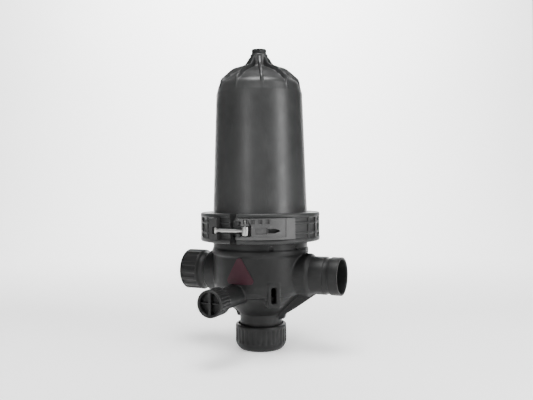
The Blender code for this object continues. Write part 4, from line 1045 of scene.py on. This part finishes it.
def make_drain_gasket():
    return washer("drain_gasket", DRAIN_BORE, 0.0162, 0.1432, 0.1452, SMALL, RUBBER, along_drain())


# Each piece: its maker, the body it rides on, a material name, and the nodes it stands for
PIECES = (
    (make_base, "base", "black_plastic", "base_housing", "elbow", "outlet_pipe", "inlet_pipe", "drain_pipe"),
    (make_cover_seal, "base", "rubber", "cover_seal"),
    (make_label, "base", "grade_red", "grade_label"),
    (make_cover, "cover", "cover_plastic", "cover"),
    (make_vent_plug, "vent_plug", "black_plastic", "vent_plug"),
    (make_vent_seal, "vent_seal", "rubber", "vent_seal"),
    (make_clamp_left, "clamp_left", "black_plastic", "clamp_left"),
    (make_clamp_right, "clamp_right", "black_plastic", "clamp_right"),
    (make_hinge_pin, "clamp_left", "steel", "clamp_hinge_pin"),
    (make_latch_lever, "latch_lever", "latch_plastic", "latch_lever"),
    (make_pin_lower, "clamp_right", "steel", "latch_pin_lower"),
    (make_pin_upper, "clamp_right", "steel", "latch_pin_upper"),
    (make_link_pin, "latch_lever", "steel", "latch_link_pin"),
    (make_latch_link, "latch_link", "steel", "latch_link"),
    (make_spine, "base", "natural_plastic", "spine"),
    (make_spine_seal, "base", "rubber", "spine_seal"),
    (make_disc_stack, "base", "disc_red", "disc_stack"),
    (make_pressure_plate, "base", "black_plastic", "pressure_plate"),
    (make_spring_washer, "nut_washer", "steel", "spring_washer"),
    (make_wing_nut, "wing_nut", "nut_plastic", "wing_nut"),
    (make_bottom_cap, "bottom_cap", "black_plastic", "bottom_cap"),
    (make_bottom_gasket, "bottom_gasket", "rubber", "bottom_gasket"),
    (make_drain_cap, "drain_cap", "black_plastic", "drain_cap"),
    (make_drain_gasket, "drain_gasket", "rubber", "drain_gasket"),
)


def make_pieces():
    for maker, body, slot, *stood_for in PIECES:
        obj = maker()
        obj.name = stood_for[0] + "_look"
        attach(obj, body)
        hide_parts(*stood_for)


def finish_spring():
    """The spring keeps its CAD mesh and gets the steel's finish."""
    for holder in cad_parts["spring"].material_slots:
        holder.material = STEEL


# Stage, light and camera

SWEEP_LIGHT = 0.93 * 1.01
SWEEP_DARK = 0.93 * 0.985
VIEW_HEADING = math.radians(VIEW_AZIMUTH)


def sweep_material():
    """Near-white paper that glows a little, so that it stays as pale as the photograph's ground."""
    made, tree, shader = nodes_of("sweep")
    tone = ramp(tree, noise(tree, 3.0), ((0.3, (SWEEP_DARK,) * 3), (0.7, (SWEEP_LIGHT,) * 3)))
    tree.links.new(tone, shader.inputs["Base Color"])
    shader.inputs["Roughness"].default_value = 0.9
    shader.inputs["Emission Color"].default_value = (1.0, 1.0, 1.0, 1.0)
    shader.inputs["Emission Strength"].default_value = 0.52
    return made


def make_floor():
    """A pale sweep: floor, a wide curve and a wall behind, square to the view."""
    front, back, curve, top, half_width = -4.0, 1.2, 0.8, 1.7, 1.35
    line = [(front, 0.0), (back, 0.0)]
    for degrees in range(5, 91, 5):
        angle = math.radians(degrees)
        line.append((back + curve * math.sin(angle), curve - curve * math.cos(angle)))
    line.append((back + curve, top))
    mesh_data = bmesh.new()
    rows = []
    for run, height in line:
        row = []
        for across in (-half_width, half_width):
            x = -math.sin(VIEW_HEADING) * run + math.cos(VIEW_HEADING) * across
            y = math.cos(VIEW_HEADING) * run + math.sin(VIEW_HEADING) * across
            row.append(mesh_data.verts.new((x, y, height)))
        rows.append(row)
    for lower, upper in zip(rows, rows[1:]):
        mesh_data.faces.new((lower[0], lower[1], upper[1], upper[0]))
    sweep = mesh_object("sweep", mesh_data, sweep_material())


def area_light(name, width, height, power, place):
    """A soft box, in metres and watts."""
    light = bpy.data.lights.new(name, "AREA")
    light.shape = "RECTANGLE"
    light.size = width
    light.size_y = height
    light.energy = power
    obj = bpy.data.objects.new(name, light)
    bpy.context.scene.collection.objects.link(obj)
    obj.matrix_world = place


def aimed(azimuth, elevation, distance):
    """A place that faces the middle of the object; azimuths are counted from the front to the outlet."""
    middle_z = 0.26
    azimuth, elevation = math.radians(azimuth), math.radians(elevation)
    x = distance * math.cos(elevation) * math.sin(azimuth)
    y = -distance * math.cos(elevation) * math.cos(azimuth)
    z = middle_z + distance * math.sin(elevation)
    turn = Matrix.Rotation(azimuth, 4, "Z") @ Matrix.Rotation(math.radians(90) - elevation, 4, "X")
    return moved(x, y, z) @ turn


def make_world():
    """Studio air that is brighter from the front than from behind."""
    strength_front, strength_behind = 0.5, 0.1
    world = bpy.data.worlds.new("studio")
    bpy.context.scene.world = world
    world.use_nodes = True
    tree = world.node_tree
    background = tree.nodes["Background"]
    coords = tree.nodes.new("ShaderNodeTexCoord")
    frontness = tree.nodes.new("ShaderNodeVectorMath")
    frontness.operation = "DOT_PRODUCT"
    frontness.inputs[1].default_value = (math.sin(VIEW_HEADING), -math.cos(VIEW_HEADING), 0.0)
    tree.links.new(coords.outputs["Generated"], frontness.inputs[0])
    strength = tree.nodes.new("ShaderNodeMapRange")
    strength.inputs["From Min"].default_value = -1.0
    strength.inputs["To Min"].default_value = strength_behind
    strength.inputs["To Max"].default_value = strength_front
    tree.links.new(frontness.outputs["Value"], strength.inputs["Value"])
    tree.links.new(strength.outputs["Result"], background.inputs["Strength"])
    background.inputs["Color"].default_value = (1.0, 1.0, 1.0, 1.0)


def make_lights():
    """Two upright strips whose reflections run down the cover, a soft box above and a wash on the wall."""
    area_light("key", 0.32, 1.5, 28, aimed(VIEW_AZIMUTH + 57, 12, 1.7))
    area_light("fill", 0.30, 1.4, 11.5, aimed(VIEW_AZIMUTH - 32, 8, 2.0))
    area_light("top", 1.2, 1.2, 72, aimed(VIEW_AZIMUTH, 76, 1.9))
    behind, above, tilt = 0.9, 1.5, 68
    wash_place = moved(-behind * math.sin(VIEW_HEADING), behind * math.cos(VIEW_HEADING), above)
    area_light("wash", 1.6, 0.5, 80, wash_place @ turned(VIEW_AZIMUTH) @ turned(tilt, "X"))


def make_camera():
    """The photograph's view, level, with a slight roll; its frame is 533 by 400."""
    distance, height, roll = 1.013, 0.2615, -0.45
    data = bpy.data.cameras.new("camera")
    data.lens = 41.3
    data.sensor_width = 36.0
    data.shift_x = 0.0122
    data.shift_y = -0.0205
    data.dof.use_dof = False
    camera = bpy.data.objects.new("camera", data)
    bpy.context.scene.collection.objects.link(camera)
    place = moved(distance * math.sin(VIEW_HEADING), -distance * math.cos(VIEW_HEADING), height)
    camera.matrix_world = place @ turned(VIEW_AZIMUTH) @ turned(90, "X") @ turned(roll)
    bpy.context.scene.camera = camera


make_pieces()
finish_spring()
make_floor()
make_world()
make_lights()
make_camera()
